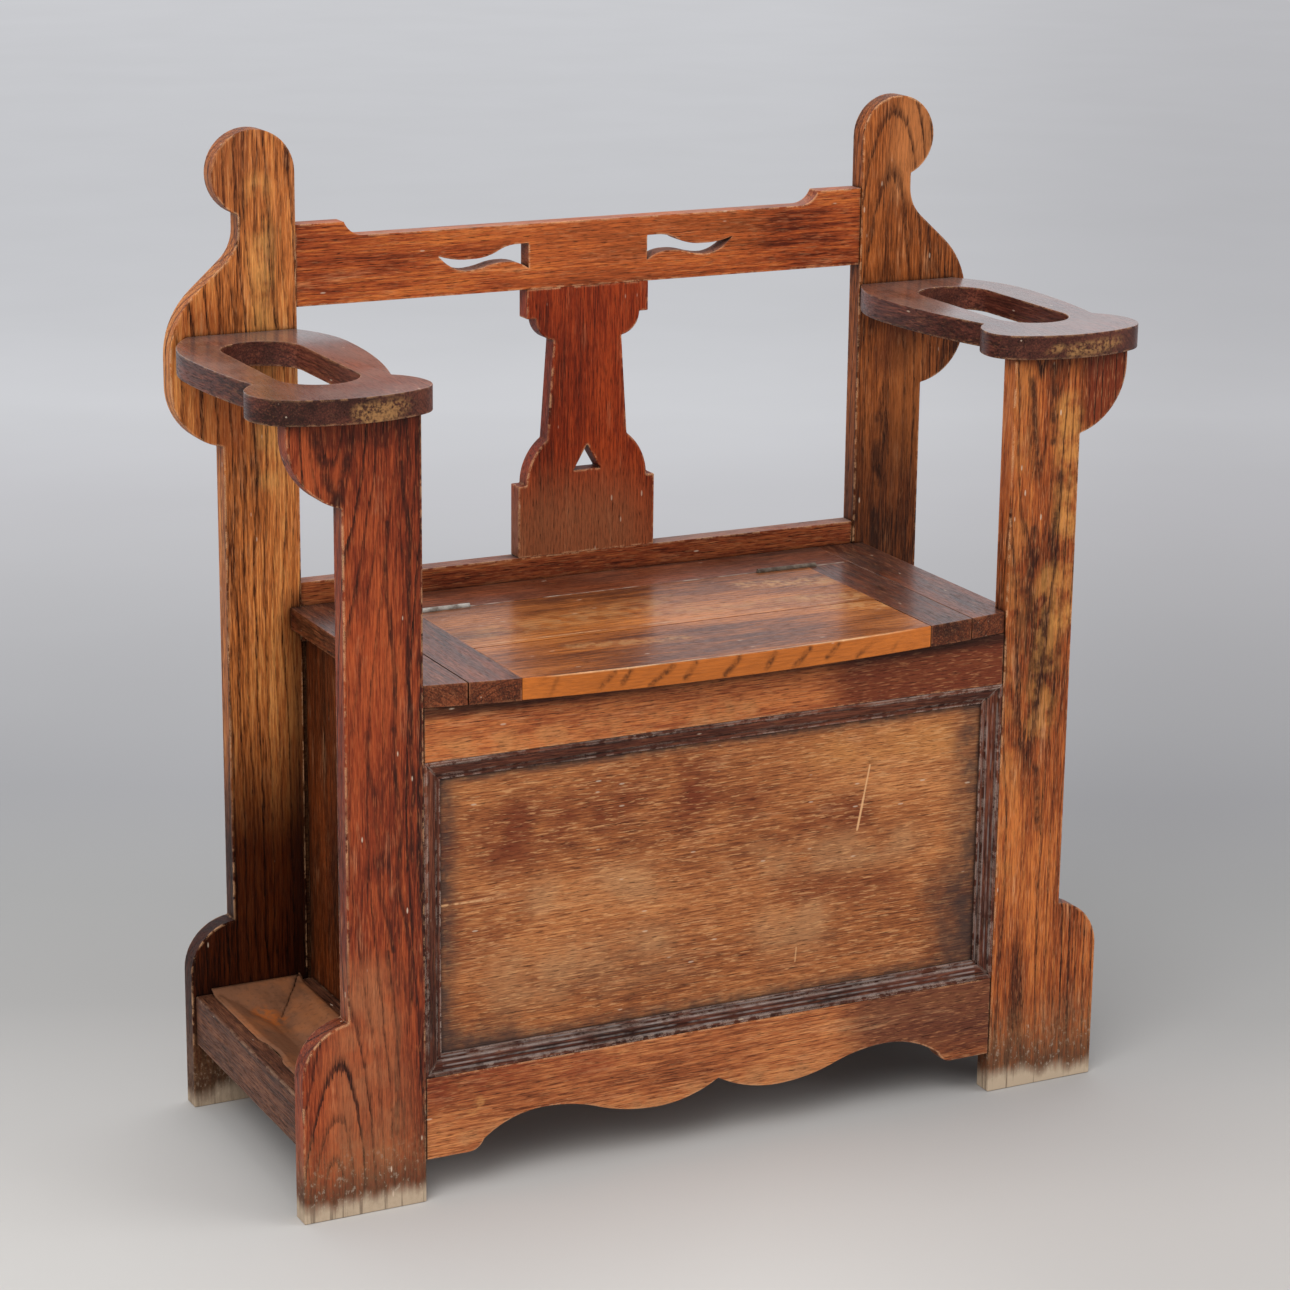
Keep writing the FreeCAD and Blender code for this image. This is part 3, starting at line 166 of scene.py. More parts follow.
Given = Value | bpy.types.NodeSocket | float | tuple


class Graph:
    """The nodes of one material, or of the room."""

    def __init__(self, name: str, room: bool = False) -> None:
        """Start a material, or the room, with no nodes."""
        self.owner = bpy.data.worlds.new(name) if room else bpy.data.materials.new(name)
        self.output = "ShaderNodeOutputWorld" if room else "ShaderNodeOutputMaterial"
        self.owner.use_nodes = True
        self.tree = self.owner.node_tree
        self.tree.nodes.clear()

    def node(self, kind: str, settings: dict[str, object] | None = None,
             inputs: dict[str | int, Given] | None = None) -> bpy.types.Node:
        """Add any node.

        Args:
            kind: The node's type.
            settings: Its properties, set first; stops are a ramp's places and colours.
            inputs: Values or links for its sockets, by name, identifier or number.

        Returns:
            The node.
        """
        made = self.tree.nodes.new(kind)
        for key, setting in (settings or {}).items():
            if key == "stops":
                self.set_stops(made.color_ramp, setting)
            else:
                setattr(made, key, setting)
        for key, given in (inputs or {}).items():
            socket = made.inputs[key] if isinstance(key, int) else next(
                each for each in made.inputs if key in (each.identifier, each.name))
            if isinstance(given, Value):
                self.tree.links.new(given.socket, socket)
            elif isinstance(given, bpy.types.NodeSocket):
                self.tree.links.new(given, socket)
            else:
                socket.default_value = given
        return made

    @staticmethod
    def set_stops(ramp: bpy.types.ColorRamp, stops: list[tuple[float, Colour]]) -> None:
        """Give a ramp its places and colours."""
        while len(ramp.elements) < len(stops):
            ramp.elements.new(1.0)
        for element, (place, colour) in zip(ramp.elements, stops):
            element.position = place
            element.color = linear(colour)

    def math(self, operation: str, *numbers: Value | float, clamp: bool = False) -> Value:
        """Add one Math node on values."""
        made = self.node("ShaderNodeMath", {"operation": operation, "use_clamp": clamp},
                         dict(enumerate(numbers)))
        return Value(self, made.outputs[0])

    def vector(self, operation: str, *vectors: Given, out: int = 0) -> bpy.types.NodeSocket:
        """Add one Vector Math node and hand back its vector, or with out=1 its number."""
        made = self.node("ShaderNodeVectorMath", {"operation": operation}, dict(enumerate(vectors)))
        return made.outputs[out]

    def join(self, x: Value | float, y: Value | float, z: Value | float) -> bpy.types.NodeSocket:
        """Put three numbers together as a vector."""
        return self.node("ShaderNodeCombineXYZ", {}, {0: x, 1: y, 2: z}).outputs[0]

    def split(self, vector: bpy.types.NodeSocket) -> tuple[Value, Value, Value]:
        """Take a vector apart."""
        made = self.node("ShaderNodeSeparateXYZ", {}, {0: vector})
        return Value(self, made.outputs[0]), Value(self, made.outputs[1]), Value(self, made.outputs[2])

    def noise(self, where: bpy.types.NodeSocket, stretch: Point, detail: float = 2.0,
              roughness: float = 0.5, shift: float = 0.0) -> Value:
        """Cloudy noise with its own stretch along each axis.

        Args:
            where: The place on the surface.
            stretch: How many clouds fit in a metre along each axis.
            detail: How many finer layers it has.
            roughness: How strong the finer layers are.
            shift: A number that makes one noise differ from another.

        Returns:
            The noise, about 0 to 1 with its middle at 0.5.
        """
        scaled = self.vector("MULTIPLY_ADD", where, stretch, (shift * 3.1, shift * 7.3, shift * 5.7))
        made = self.node("ShaderNodeTexNoise", {"noise_dimensions": "3D"},
                         {"Vector": scaled, "Scale": 1.0, "Detail": detail, "Roughness": roughness})
        return Value(self, made.outputs[0])

    def dot(self, first: Given, second: Given) -> Value:
        """How far one vector reaches along another."""
        return Value(self, self.vector("DOT_PRODUCT", first, second, out=1))

    def shut(self, reach: float, samples: int = 4) -> Value:
        """How much a place is shut in by what lies within a reach of it."""
        made = self.node("ShaderNodeAmbientOcclusion", {"samples": samples}, {"Distance": reach})
        return 1.0 - Value(self, made.outputs["AO"])

    def mix(self, share: Value | float, first: Given, second: Given,
            way: str = "MIX") -> bpy.types.NodeSocket:
        """Blend two colours.

        Args:
            share: How much of the second shows.
            first: A colour or its socket.
            second: A colour or its socket.
            way: Blender's blend type.

        Returns:
            The blended colour.
        """
        made = self.node("ShaderNodeMix", {"data_type": "RGBA", "blend_type": way, "clamp_factor": True},
                         {"Factor_Float": share, "A_Color": first, "B_Color": second})
        return next(each for each in made.outputs if each.identifier == "Result_Color")

    def lay(self, share: Value | float, colour: Given, tone: Colour,
            way: str = "MIX") -> bpy.types.NodeSocket:
        """Lay a written colour over what is there."""
        return self.mix(share, colour, linear(tone), way)

    def ramp(self, place: Value, stops: list[tuple[float, Colour]]) -> bpy.types.NodeSocket:
        """Read a colour off a row of stops."""
        return self.node("ShaderNodeValToRGB", {"stops": stops}, {"Fac": place}).outputs[0]

    def stroke(self, where: bpy.types.NodeSocket, start: Point, end: Point, width: float,
               soft: float) -> Value:
        """A mask along a straight line on a surface.

        Args:
            where: The place on the surface.
            start: One end of the line.
            end: The other end.
            width: Half the width that is fully covered.
            soft: How far the mask fades beyond that.

        Returns:
            The mask, from 0 to 1.
        """
        run = Vector(end) - Vector(start)
        away = self.vector("SUBTRACT", where, start)
        along = self.dot(away, tuple(run)) / run.length_squared
        nearest = self.node("ShaderNodeVectorMath", {"operation": "SCALE"},
                            {0: tuple(run), "Scale": along.kept()}).outputs[0]
        distance = Value(self, self.vector("DISTANCE", away, nearest, out=1))
        return distance.over(width + soft, width)

    def solid(self, height: Value, strength: float, depth: float,
              sockets: dict[str | int, Given]) -> bpy.types.Material:
        """Close a material with one plain shader.

        Args:
            height: The relief of the surface.
            strength: How strongly the relief shows.
            depth: How deep it is.
            sockets: Values or links for the shader's sockets.

        Returns:
            The material.
        """
        bump = self.node("ShaderNodeBump", {}, {"Strength": strength, "Distance": depth, "Height": height})
        shader = self.node("ShaderNodeBsdfPrincipled", {}, {**sockets, "Normal": bump.outputs[0]})
        return self.finish(shader.outputs[0])

    def finish(self, shader: bpy.types.NodeSocket) -> bpy.types.Material | bpy.types.World:
        """Send a shader to the surface and hand back the material or the room."""
        self.node(self.output, {}, {"Surface": shader})
        return self.owner


class Lie(Enum):
    """The axes along a board's grain, across its face and through it."""

    POST = (2, 0, 1)
    RAIL = (0, 2, 1)
    TOP = (0, 1, 2)
    ARM = (1, 0, 2)
    SIDE = (2, 1, 0)
    BEARER = (1, 2, 0)


@dataclass(frozen=True)
class Grain:
    """How a board was cut from the log.

    The heart is where the middle of the log lies, across and through the board in its
    own frame. The tilt is how far the heart moves through the board for each metre along,
    and the bow how it curves away from the waist, so that the rings close in arches.
    """

    lie: Lie
    heart: tuple[float, float]
    tilt: float = 0.04
    pitch: float = 5.0 * MM
    wander: float = 1.0
    seed: float = 0.0
    bow: float = 0.0
    waist: float = 0.36


@dataclass(frozen=True)
class Oak:
    """A stained, waxed and worn oak finish.

    The stain runs from dark over middle to pale. Pores are the fine dark dashes along the
    grain, flecks the fine pale ones, and bands the broad changes of tone.
    """

    pale: Colour
    middle: Colour
    dark: Colour
    pore: Colour = (36, 15, 9)
    fleck: Colour = (206, 140, 92)
    worn: Colour = (226, 172, 126)
    ring: float = 0.6
    pores: float = 0.6
    flecks: float = 0.3
    bands: float = 1.0
    bare: float = 0.3
    wear: float = 0.9
    # painted shade in corners and joints, found by occlusion and mixed with soiling
    grime_and_shade: float = 0.5
    # dust on faces that look up; on the arms it stands for a painted sheen
    dust: float = 0.0
    foot: float = 0.0
    ends: float = 0.35
    front: float = 0.0
    specks: float = 0.6
    gloss: float = 0.42
    shine: float = 0.24
    coat: float = 0.0
    streaks: float = 1.3
    fibres: float = 2.2

    def figure(self, graph: Graph, grain: Grain, board: bpy.types.NodeSocket,
               across: Value, through: Value, along: Value) -> tuple[Value, Value, Value]:
        """Draw the rings and pores of the wood.

        Args:
            graph: The graph of the finish.
            grain: How the board was cut.
            board: The place in the board's own frame.
            across: The place across the board.
            through: The place through it.
            along: The place along it.

        Returns:
            The rings, the pores and the fibres, each from 0 to 1.
        """
        seed = grain.seed
        sway = graph.noise(board, (2.2, 5.0, 5.0), 2.0, 0.5, seed + 1.3) - 0.5
        waver = graph.noise(board, (12.0, 60.0, 60.0), 3.0, 0.6, seed + 4.1) - 0.5
        teeth = graph.noise(board, (46.0, 900.0, 900.0), 3.0, 0.62, seed + 5.0) - 0.5
        aside = across - grain.heart[0] + sway * (0.030 * grain.wander) + waver * (0.004 * grain.wander)
        deep = through - grain.heart[1] + along * grain.tilt + sway * (0.014 * grain.wander)
        if grain.bow:
            off = along - grain.waist
            deep = deep + off * off * grain.bow
        radius = (aside * aside + deep * deep).root() / grain.pitch + teeth * 0.45
        turn = radius.part()
        kind = graph.node("ShaderNodeTexWhiteNoise", {"noise_dimensions": "1D"},
                          {"W": radius.whole() + seed * 9.0})
        vigour = Value(graph, kind.outputs[0])
        line = turn.over(0.0, 0.04) * turn.over(0.34, 0.06)
        ring = (line * (vigour * 0.9 + 0.35)).kept()
        fibre = graph.noise(board, (34.0, 640.0, 640.0), 4.0, 0.64, seed + 2.0)
        pore = graph.noise(board, (90.0, 1000.0, 1000.0), 2.0, 0.6, seed + 9.0).over(0.50, 0.62)
        return ring, pore, fibre

    def material(self, name: str, grain: Grain, marks: tuple["Mark", ...] = ()) -> bpy.types.Material:
        """Build the finish for one board.

        Args:
            name: The material's name.
            grain: How the board was cut.
            marks: Scratches, scuffs and stains on it.

        Returns:
            The material.
        """
        graph = Graph(name)
        lie = graph.node("ShaderNodeTexCoord")
        place = lie.outputs["Object"]
        parts = graph.split(place)
        along, across, through = (parts[axis] for axis in grain.lie.value)
        seed = grain.seed
        board = graph.join(along + seed, across, through)
        ring, pore, fibre = self.figure(graph, grain, board, across, through, along)

        cloud = graph.noise(board, (3.4, 12.0, 12.0), 3.0, 0.55, seed + 7.0)
        streak = graph.noise(board, (5.0, 110.0, 110.0), 4.0, 0.62, seed + 8.0)
        tone = ((cloud - 0.5) * (1.9 * self.bands) + (streak - 0.5) * self.streaks
                + (fibre - 0.5) * self.fibres + 0.5).kept()
        colour = graph.ramp(tone, [(0.0, self.dark), (0.5, self.middle), (1.0, self.pale)])
        for mark in marks:
            if mark.under:
                colour = graph.lay(mark.mask(graph, place), colour, mark.colour, mark.way)
        thin = graph.noise(board, (14.0, 60.0, 60.0), 4.0, 0.65, seed + 13.0)
        bared = thin.over(0.56, 0.70) * fibre.over(0.40, 0.62)
        colour = graph.lay((bared * self.bare).kept(), colour, self.worn)
        colour = graph.lay((ring * self.ring).kept(), colour, self.dark)
        colour = graph.lay((ring * pore * self.ring).kept(), colour, self.pore)
        colour = graph.lay(pore * (ring * 0.5 + 0.5) * self.pores, colour, self.pore)
        ray = graph.noise(board, (78.0, 700.0, 700.0), 2.0, 0.55, seed + 11.0)
        colour = graph.lay(ray.over(0.56, 0.68) * self.flecks, colour, self.fleck)

        rough = self.gloss + (streak - 0.5) * 0.16 + pore * 0.2
        normal = graph.node("ShaderNodeNewGeometry").outputs["Normal"]
        faces = graph.split(lie.outputs["Normal"])
        chips = graph.noise(place, (110.0, 110.0, 110.0), 5.0, 0.68, seed + 15.0)
        if self.ends:
            end = graph.math("ABSOLUTE", faces[grain.lie.value[0]]).over(0.55, 0.9)
            colour = graph.lay(end * self.ends, colour, self.dark)
        if self.front:
            facing = (-faces[1]).over(0.45, 0.85) * (cloud * 0.5 + 0.6) * (fibre * 1.0 + 0.45)
            colour = graph.lay((facing * self.front).kept(), colour, self.worn)
        for mark in marks:
            if not mark.under and mark.way == "MULTIPLY":
                colour = graph.lay(mark.mask(graph, place), colour, mark.colour, mark.way)
        colour, rough = self.age(graph, place, parts, normal, faces, chips, colour, rough, seed)
        for mark in marks:
            if not mark.under and mark.way == "MIX":
                cover = mark.mask(graph, place)
                colour = graph.lay(cover, colour, mark.colour, mark.way)
                rough = rough + cover * mark.dulls
        if self.specks:
            strewn = graph.vector("MULTIPLY", board, (42.0, 150.0, 150.0))
            cells = graph.node("ShaderNodeTexVoronoi", {"feature": "F1"}, {"Vector": strewn, "Scale": 1.0})
            chance = graph.split(cells.outputs["Color"])[0].over(0.90, 0.905)
            speck = Value(graph, cells.outputs["Distance"]).over(0.15, 0.08) * chance
            colour = graph.lay((speck * self.specks).kept(), colour, SPLINTER)

        height = (1.0 - pore) + (1.0 - ring) * 0.5 + fibre * 0.5
        return graph.solid(height, 0.35, 0.4 * MM, {
            "Base Color": colour, "Roughness": rough.kept(), "IOR": 1.48, "Specular IOR Level": self.shine,
            "Coat Weight": (faces[2].over(0.3, 0.9) * self.coat).kept(), "Coat Roughness": 0.2})

    def age(self, graph: Graph, place: bpy.types.NodeSocket, parts: tuple[Value, Value, Value],
            normal: bpy.types.NodeSocket, faces: tuple[Value, Value, Value], chips: Value,
            colour: bpy.types.NodeSocket, rough: Value, seed: float) -> tuple[bpy.types.NodeSocket, Value]:
        """Wear the edges, paint shade mixed with soiling into the corners and joints, and lay dust, on the
        arms a painted sheen, and floor wear.

        Args:
            graph: The graph of the finish.
            place: The place on the surface.
            parts: The same, taken apart.
            normal: Which way the surface faces.
            faces: The same in the board's own frame, taken apart.
            chips: A ragged noise that breaks the wear up.
            colour: The colour so far.
            rough: The roughness so far.
            seed: The board's own number.

        Returns:
            The aged colour and roughness.
        """
        # painted shade: corners darken by how shut in they are, broken up and dulled like soiling
        if self.grime_and_shade:
            shade_and_dirt = (graph.shut(26.0 * MM) * (chips + 0.4)).kept()
            colour = graph.lay((shade_and_dirt * self.grime_and_shade).kept(), colour, CORNER_GRIME_AND_SHADE)
            rough = rough + shade_and_dirt * 0.2
        rounded = graph.node("ShaderNodeBevel", {"samples": 4}, {"Radius": 3.2 * MM}).outputs[0]
        spells = graph.noise(place, (22.0, 22.0, 22.0), 3.0, 0.6, seed + 21.0).over(0.36, 0.58)
        edge = graph.dot(normal, rounded).over(0.9995, 0.93) * (chips.over(0.44, 0.54) * (spells * 0.7 + 0.3))
        colour = graph.lay((edge * self.wear).kept(), colour, self.worn)
        # painted shade in tight joints and creases
        joint_shade = graph.shut(4.0 * MM).over(0.14, 0.46)
        colour = graph.lay(joint_shade * 0.92, colour, JOINT_SHADOW)
        # dust on faces that look up; where it is strong, on the arms, it is a painted sheen of the pale room
        if self.dust:
            up = faces[2].over(0.35, 0.95)
            film = graph.noise(place, (16.0, 16.0, 16.0), 4.0, 0.6, seed + 17.0)
            dust_and_sheen_cover = (up * (film.over(0.30, 0.66) * 0.8 + 0.2) * self.dust).kept()
            colour = graph.lay(dust_and_sheen_cover, colour, DUST_AND_SHEEN)
            rough = rough + dust_and_sheen_cover * 0.25
        if self.foot:
            fine = graph.noise(place, (300.0, 300.0, 200.0), 4.0, 0.66, seed + 18.0)
            blur = graph.noise(place, (30.0, 30.0, 12.0), 3.0, 0.6, seed + 19.0) - 0.5
            checks = graph.noise(place, (260.0, 260.0, 7.0), 3.0, 0.62, seed + 20.0)
            height = parts[2] + blur * 0.036 + (checks - 0.5) * 0.010
            faded = height.over(0.105, 0.030) * (fine.over(0.36, 0.62) * 0.5 + 0.25)
            colour = graph.lay((faded * 0.75 * self.foot).kept(), colour, FOOT_FADED)
            stained = height.over(0.056, 0.022) * (fine * 0.8 + 0.15)
            colour = graph.lay((stained * self.foot).kept(), colour, FOOT_STAINED)
            flour = fine.over(0.57, 0.66) * height.over(0.080, 0.02)
            colour = graph.lay((flour * 0.4 * self.foot).kept(), colour, FOOT_CHALKY)
            bared = height.over(0.024, 0.006) * self.foot
            colour = graph.lay((bared * (fine * 0.5 + 0.7)).kept(), colour, FOOT_BARE)
            colour = graph.lay((bared * checks.over(0.56, 0.66) * 0.6).kept(), colour, FOOT_CHECKED)
            rough = rough + (bared + stained) * 0.3
        return colour, rough


@dataclass(frozen=True)
class Mark:
    """A scratch, scuff or stain along a line on a surface."""

    start: Point
    end: Point
    width: float
    soft: float
    colour: Colour
    strength: float = 0.8
    way: str = "MIX"
    broken: float = 0.0
    dulls: float = 0.1
    under: bool = False
    hold: float = 0.0
    wobble: float = 0.0

    def mask(self, graph: Graph, place: bpy.types.NodeSocket) -> Value:
        """Where the mark covers the surface.

        Args:
            graph: The graph of the finish that bears the mark.
            place: The place on the surface.

        Returns:
            The cover, from 0 to 1.
        """
        where = place
        if self.wobble:
            sway = (graph.noise(place, (4.0, 4.0, 9.0), 2.0, 0.5, self.start[2] * 9.0) - 0.5) * self.wobble
            where = graph.vector("ADD", place, graph.join(sway, 0.0, 0.0))
        cover = graph.stroke(where, self.start, self.end, self.width, self.soft) * self.strength
        if self.broken:
            gaps = graph.noise(place, (self.broken, self.broken, self.broken), 4.0, 0.6, self.start[0] * 50.0)
            cover = cover * (gaps.over(0.38, 0.62) * (1.0 - self.hold) + self.hold)
        return cover.kept()


def face_mark(depth: float, start: Spot, end: Spot, width: float, soft: float, colour: Colour,
              strength: float = 0.8, **more: object) -> Mark:
    """Make a mark on a face that looks to the front.

    Args:
        depth: Where the face lies, from front to back.
        start: Where the mark starts, to the right and up.
        end: Where it ends.
        width: Half the width that is fully covered, in millimetres.
        soft: How far it fades beyond that, in millimetres.
        colour: Its colour.
        strength: How much it covers.
        more: The mark's other choices.

    Returns:
        The mark.
    """
    return Mark((start[0], depth, start[1]), (end[0], depth, end[1]), width * MM, soft * MM, colour,
                strength, **more)


@dataclass(frozen=True)
class Steel:
    """Old bright steel, dulled and browned in its hollows."""

    bright: Colour = (150, 148, 146)
    dull: Colour = (74, 68, 64)
    rust: Colour = (92, 58, 38)
    rusty: float = 0.35
    gloss: float = 0.38
    metal: float = 1.0

    def material(self, name: str, seed: float = 0.0) -> bpy.types.Material:
        """Build the finish.

        Args:
            name: The material's name.
            seed: A number that makes one piece differ from another.

        Returns:
            The material.
        """
        graph = Graph(name)
        place = graph.node("ShaderNodeTexCoord").outputs["Object"]
        film = graph.noise(place, (120.0, 120.0, 120.0), 4.0, 0.6, seed)
        brushed = graph.noise(place, (60.0, 1600.0, 1600.0), 2.0, 0.6, seed + 2.0)
        pits = graph.noise(place, (420.0, 420.0, 420.0), 3.0, 0.6, seed + 3.0)
        colour = graph.mix(film.over(0.35, 0.70), linear(self.bright), linear(self.dull))
        eaten = film.over(0.52, 0.72) * pits.over(0.40, 0.60) * self.rusty
        colour = graph.lay(eaten, colour, self.rust)
        return graph.solid(pits + brushed * 0.5, 0.25, 0.2 * MM, {
            "Base Color": colour, "Metallic": (1.0 - eaten) * self.metal,
            "Roughness": (self.gloss + (brushed - 0.5) * 0.2 + eaten * 0.4).kept()})


@dataclass(frozen=True)
class RustySheet:
    """Thin painted sheet that has gone brown and lost its gloss."""

    paint: Colour = (140, 94, 66)
    rust: Colour = (170, 106, 64)
    dark: Colour = (62, 38, 27)

    def material(self, name: str, seed: float, patches: tuple[Mark, ...] = ()) -> bpy.types.Material:
        """Build the finish.

        Args:
            name: The material's name.
            seed: A number that makes one tray differ from the other.
            patches: Where the rust has bloomed through.

        Returns:
            The material.
        """
        graph = Graph(name)
        place = graph.node("ShaderNodeTexCoord").outputs["Object"]
        blooms = graph.noise(place, (16.0, 16.0, 16.0), 5.0, 0.62, seed)
        grains = graph.noise(place, (210.0, 210.0, 210.0), 3.0, 0.6, seed + 2.0)
        runs = graph.noise(place, (40.0, 9.0, 40.0), 3.0, 0.55, seed + 4.0)
        colour = graph.mix(blooms.over(0.42, 0.66), linear(self.paint), linear(self.rust))
        colour = graph.lay(runs.over(0.50, 0.75) * 0.6, colour, self.dark)
        colour = graph.lay(grains.over(0.50, 0.72) * 0.35, colour, self.dark)
        for patch in patches:
            colour = graph.lay(patch.mask(graph, place), colour, patch.colour)
        # painted shade where the tray is shut in, under the stretchers and along its gutter, mixed with
        # soiling
        colour = graph.lay((graph.shut(20.0 * MM, 6) * 0.9).kept(), colour, TRAY_GRIME_AND_SHADE)
        return graph.solid(grains + blooms, 0.4, 0.5 * MM, {
            "Base Color": colour, "Metallic": 0.0, "Roughness": (0.5 + blooms * 0.3).kept()})


def edged(node: bpy.types.Object, width: float) -> None:
    """Ease the sharp edges of a solid, and leave its mesh as it is.

    Args:
        node: The object of the solid.
        width: How wide the eased edge is.
    """
    weld = node.modifiers.new("weld", "WELD")
    weld.merge_threshold = TINY
    flat = node.modifiers.new("flat", "DECIMATE")
    flat.decimate_type = "DISSOLVE"
    flat.angle_limit = FLAT_ANGLE
    bevel = node.modifiers.new("eased_edges", "BEVEL")
    bevel.width = width
    bevel.segments = EDGE_FACETS
    bevel.limit_method = "ANGLE"
    bevel.angle_limit = SHARP_ANGLE
    bevel.harden_normals = False
    bevel.miter_outer = "MITER_ARC"
    even = node.modifiers.new("even_light", "WEIGHTED_NORMAL")
    even.keep_sharp = False
    even.weight = 80


def dress(name: str, material: bpy.types.Material, ease: float = 0.0) -> bpy.types.Object:
    """Give a solid its finish.

    Args:
        name: The solid's name.
        material: Its finish.
        ease: How wide its eased edges are.

    Returns:
        The solid's object.
    """
    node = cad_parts[name]
    node.data.materials.clear()
    node.data.materials.append(material)
    if ease:
        edged(node, ease)
    log.info("%s dressed", name)
    return node


# the stains of the different boards
FRONT_RED = Oak(pale=(180, 84, 41), middle=(128, 49, 23), dark=(56, 19, 11), ring=0.9, pores=0.45,
                bare=0.25, foot=1.0, flecks=0.3, fleck=(196, 108, 60), specks=0.9)
FRONT_TAN = Oak(pale=(212, 122, 58), middle=(156, 75, 33), dark=(62, 27, 13), ring=1.0, pores=0.6, bare=0.4,
                foot=1.1, flecks=0.35, specks=0.8)
REAR_GOLD = Oak(pale=(242, 166, 92), middle=(202, 116, 56), dark=(84, 40, 18), ring=0.8, pores=0.5,
                foot=0.8, flecks=0.3, specks=0.7)
REAR_BROWN = Oak(pale=(204, 116, 56), middle=(150, 78, 32), dark=(62, 28, 13), ring=0.9, pores=0.6, foot=0.8,
                 flecks=0.2)
RAIL_RED = Oak(pale=(214, 118, 54), middle=(168, 76, 34), dark=(86, 30, 14), ring=0.35, pores=0.8,
               flecks=0.25, dust=0.5, bare=0.25)
SPLAT_DEEP = Oak(pale=(168, 65, 24), middle=(128, 41, 12), dark=(66, 20, 8), ring=0.3, pores=0.75,
                 flecks=0.25, bare=0.15, fleck=(176, 84, 46))
# the arms' dust is a painted sheen, the pale room mirrored on their tops
ARM_DARK = Oak(pale=(132, 72, 54), middle=(88, 45, 36), dark=(46, 23, 18), ring=0.4, flecks=0.12, gloss=0.30,
               worn=(196, 146, 104), bare=0.1, dust=0.40, shine=0.28, coat=1.0, wear=0.75)
LID_BROWN = Oak(pale=(200, 122, 56), middle=(152, 85, 34), dark=(84, 40, 16), ring=0.35, pores=0.5,
                flecks=0.2, gloss=0.32, coat=0.30, dust=0.04, grime_and_shade=0.4, front=0.95, worn=(206, 114, 44),
                fibres=2.0, bands=1.5)
SEAT_BROWN = Oak(pale=(150, 78, 44), middle=(104, 50, 27), dark=(48, 22, 13), ring=0.6, gloss=0.32, coat=0.4,
                 dust=0.08, flecks=0.2, wear=0.6, worn=(170, 112, 76), ends=0.1)
FRONT_RAIL = Oak(pale=(206, 122, 66), middle=(158, 80, 42), dark=(84, 34, 16), ring=0.3, pores=0.75,
                 flecks=0.45, streaks=1.0)
PANEL = Oak(pale=(218, 148, 90), middle=(174, 104, 58), dark=(106, 52, 28), ring=0.2, pores=0.7, flecks=0.55,
            fleck=(222, 164, 110), bands=0.8, bare=0.3, grime_and_shade=0.9, streaks=0.7, fibres=2.0)
APRON = Oak(pale=(218, 142, 84), middle=(176, 98, 54), dark=(98, 44, 22), ring=0.3, pores=0.7, flecks=0.4,
            grime_and_shade=0.8, streaks=0.9)
MOULDING = Oak(pale=(134, 74, 50), middle=(90, 44, 29), dark=(38, 18, 13), ring=0.3, dust=0.6, grime_and_shade=0.7,
               worn=(180, 156, 142), wear=0.95, flecks=0.1, specks=0.6)
SIDE_DARK = Oak(pale=(140, 66, 25), middle=(98, 43, 14), dark=(44, 18, 7), ring=0.5, flecks=0.15, specks=0.8)
STRETCHER = Oak(pale=(148, 96, 68), middle=(108, 66, 47), dark=(50, 28, 20), ring=0.35, flecks=0.15,
                gloss=0.5, worn=(176, 140, 110), bare=0.15, specks=0.8)
PLAIN = Oak(pale=(180, 128, 84), middle=(144, 94, 58), dark=(94, 56, 34), ring=0.5, gloss=0.55)
INSIDE = Oak(pale=(172, 116, 72), middle=(136, 86, 52), dark=(88, 52, 34), ring=0.5, gloss=0.6)


@dataclass
class Board:
    """One wooden piece: the solid's name, its stain and its grain."""

    name: str
    stain: Oak
    grain: Grain
    ease: float = 1.0 * MM
    marks: tuple[Mark, ...] = ()

    def build(self) -> None:
        """Dress the solid."""
        dress(self.name, self.stain.material(self.name, self.grain, self.marks), self.ease)


def build_pair(name: str, stain: Oak, lie: Lie, heart: Spot, seeds: Spot, ease: float = 1.0 * MM,
               pitch: float = 5.0 * MM, wander: float = 1.0) -> None:
    """Dress the left and the right one of two pieces that are mirror images.

    Args:
        name: What the solids' names start with.
        stain: Their stain.
        lie: How their boards lie.
        heart: The heart of the log for the right one.
        seeds: The numbers of the left and the right board.
        ease: How wide their eased edges are.
        pitch: How far apart the rings are.
        wander: How much the rings wander.
    """
    across_bench = lie.value[1] == 0
    for side, sign, seed in (("left", -1, seeds[0]), ("right", 1, seeds[1])):
        middle = (sign * heart[0], heart[1]) if across_bench else (heart[0], sign * heart[1])
        Board(f"{name}_{side}", stain, Grain(lie, middle, 0.03, pitch, wander, seed), ease).build()


def mesh_data(name: str, mesh: bmesh.types.BMesh) -> bpy.types.Mesh:
    """Turn a finished mesh into data for an object."""
    data = bpy.data.meshes.new(name)
    mesh.to_mesh(data)
    mesh.free()
    return data


def placed(name: str, data: bpy.types.ID) -> bpy.types.Object:
    """Put an object with its data into the scene."""
    made = bpy.data.objects.new(name, data)
    bpy.context.scene.collection.objects.link(made)
    return made


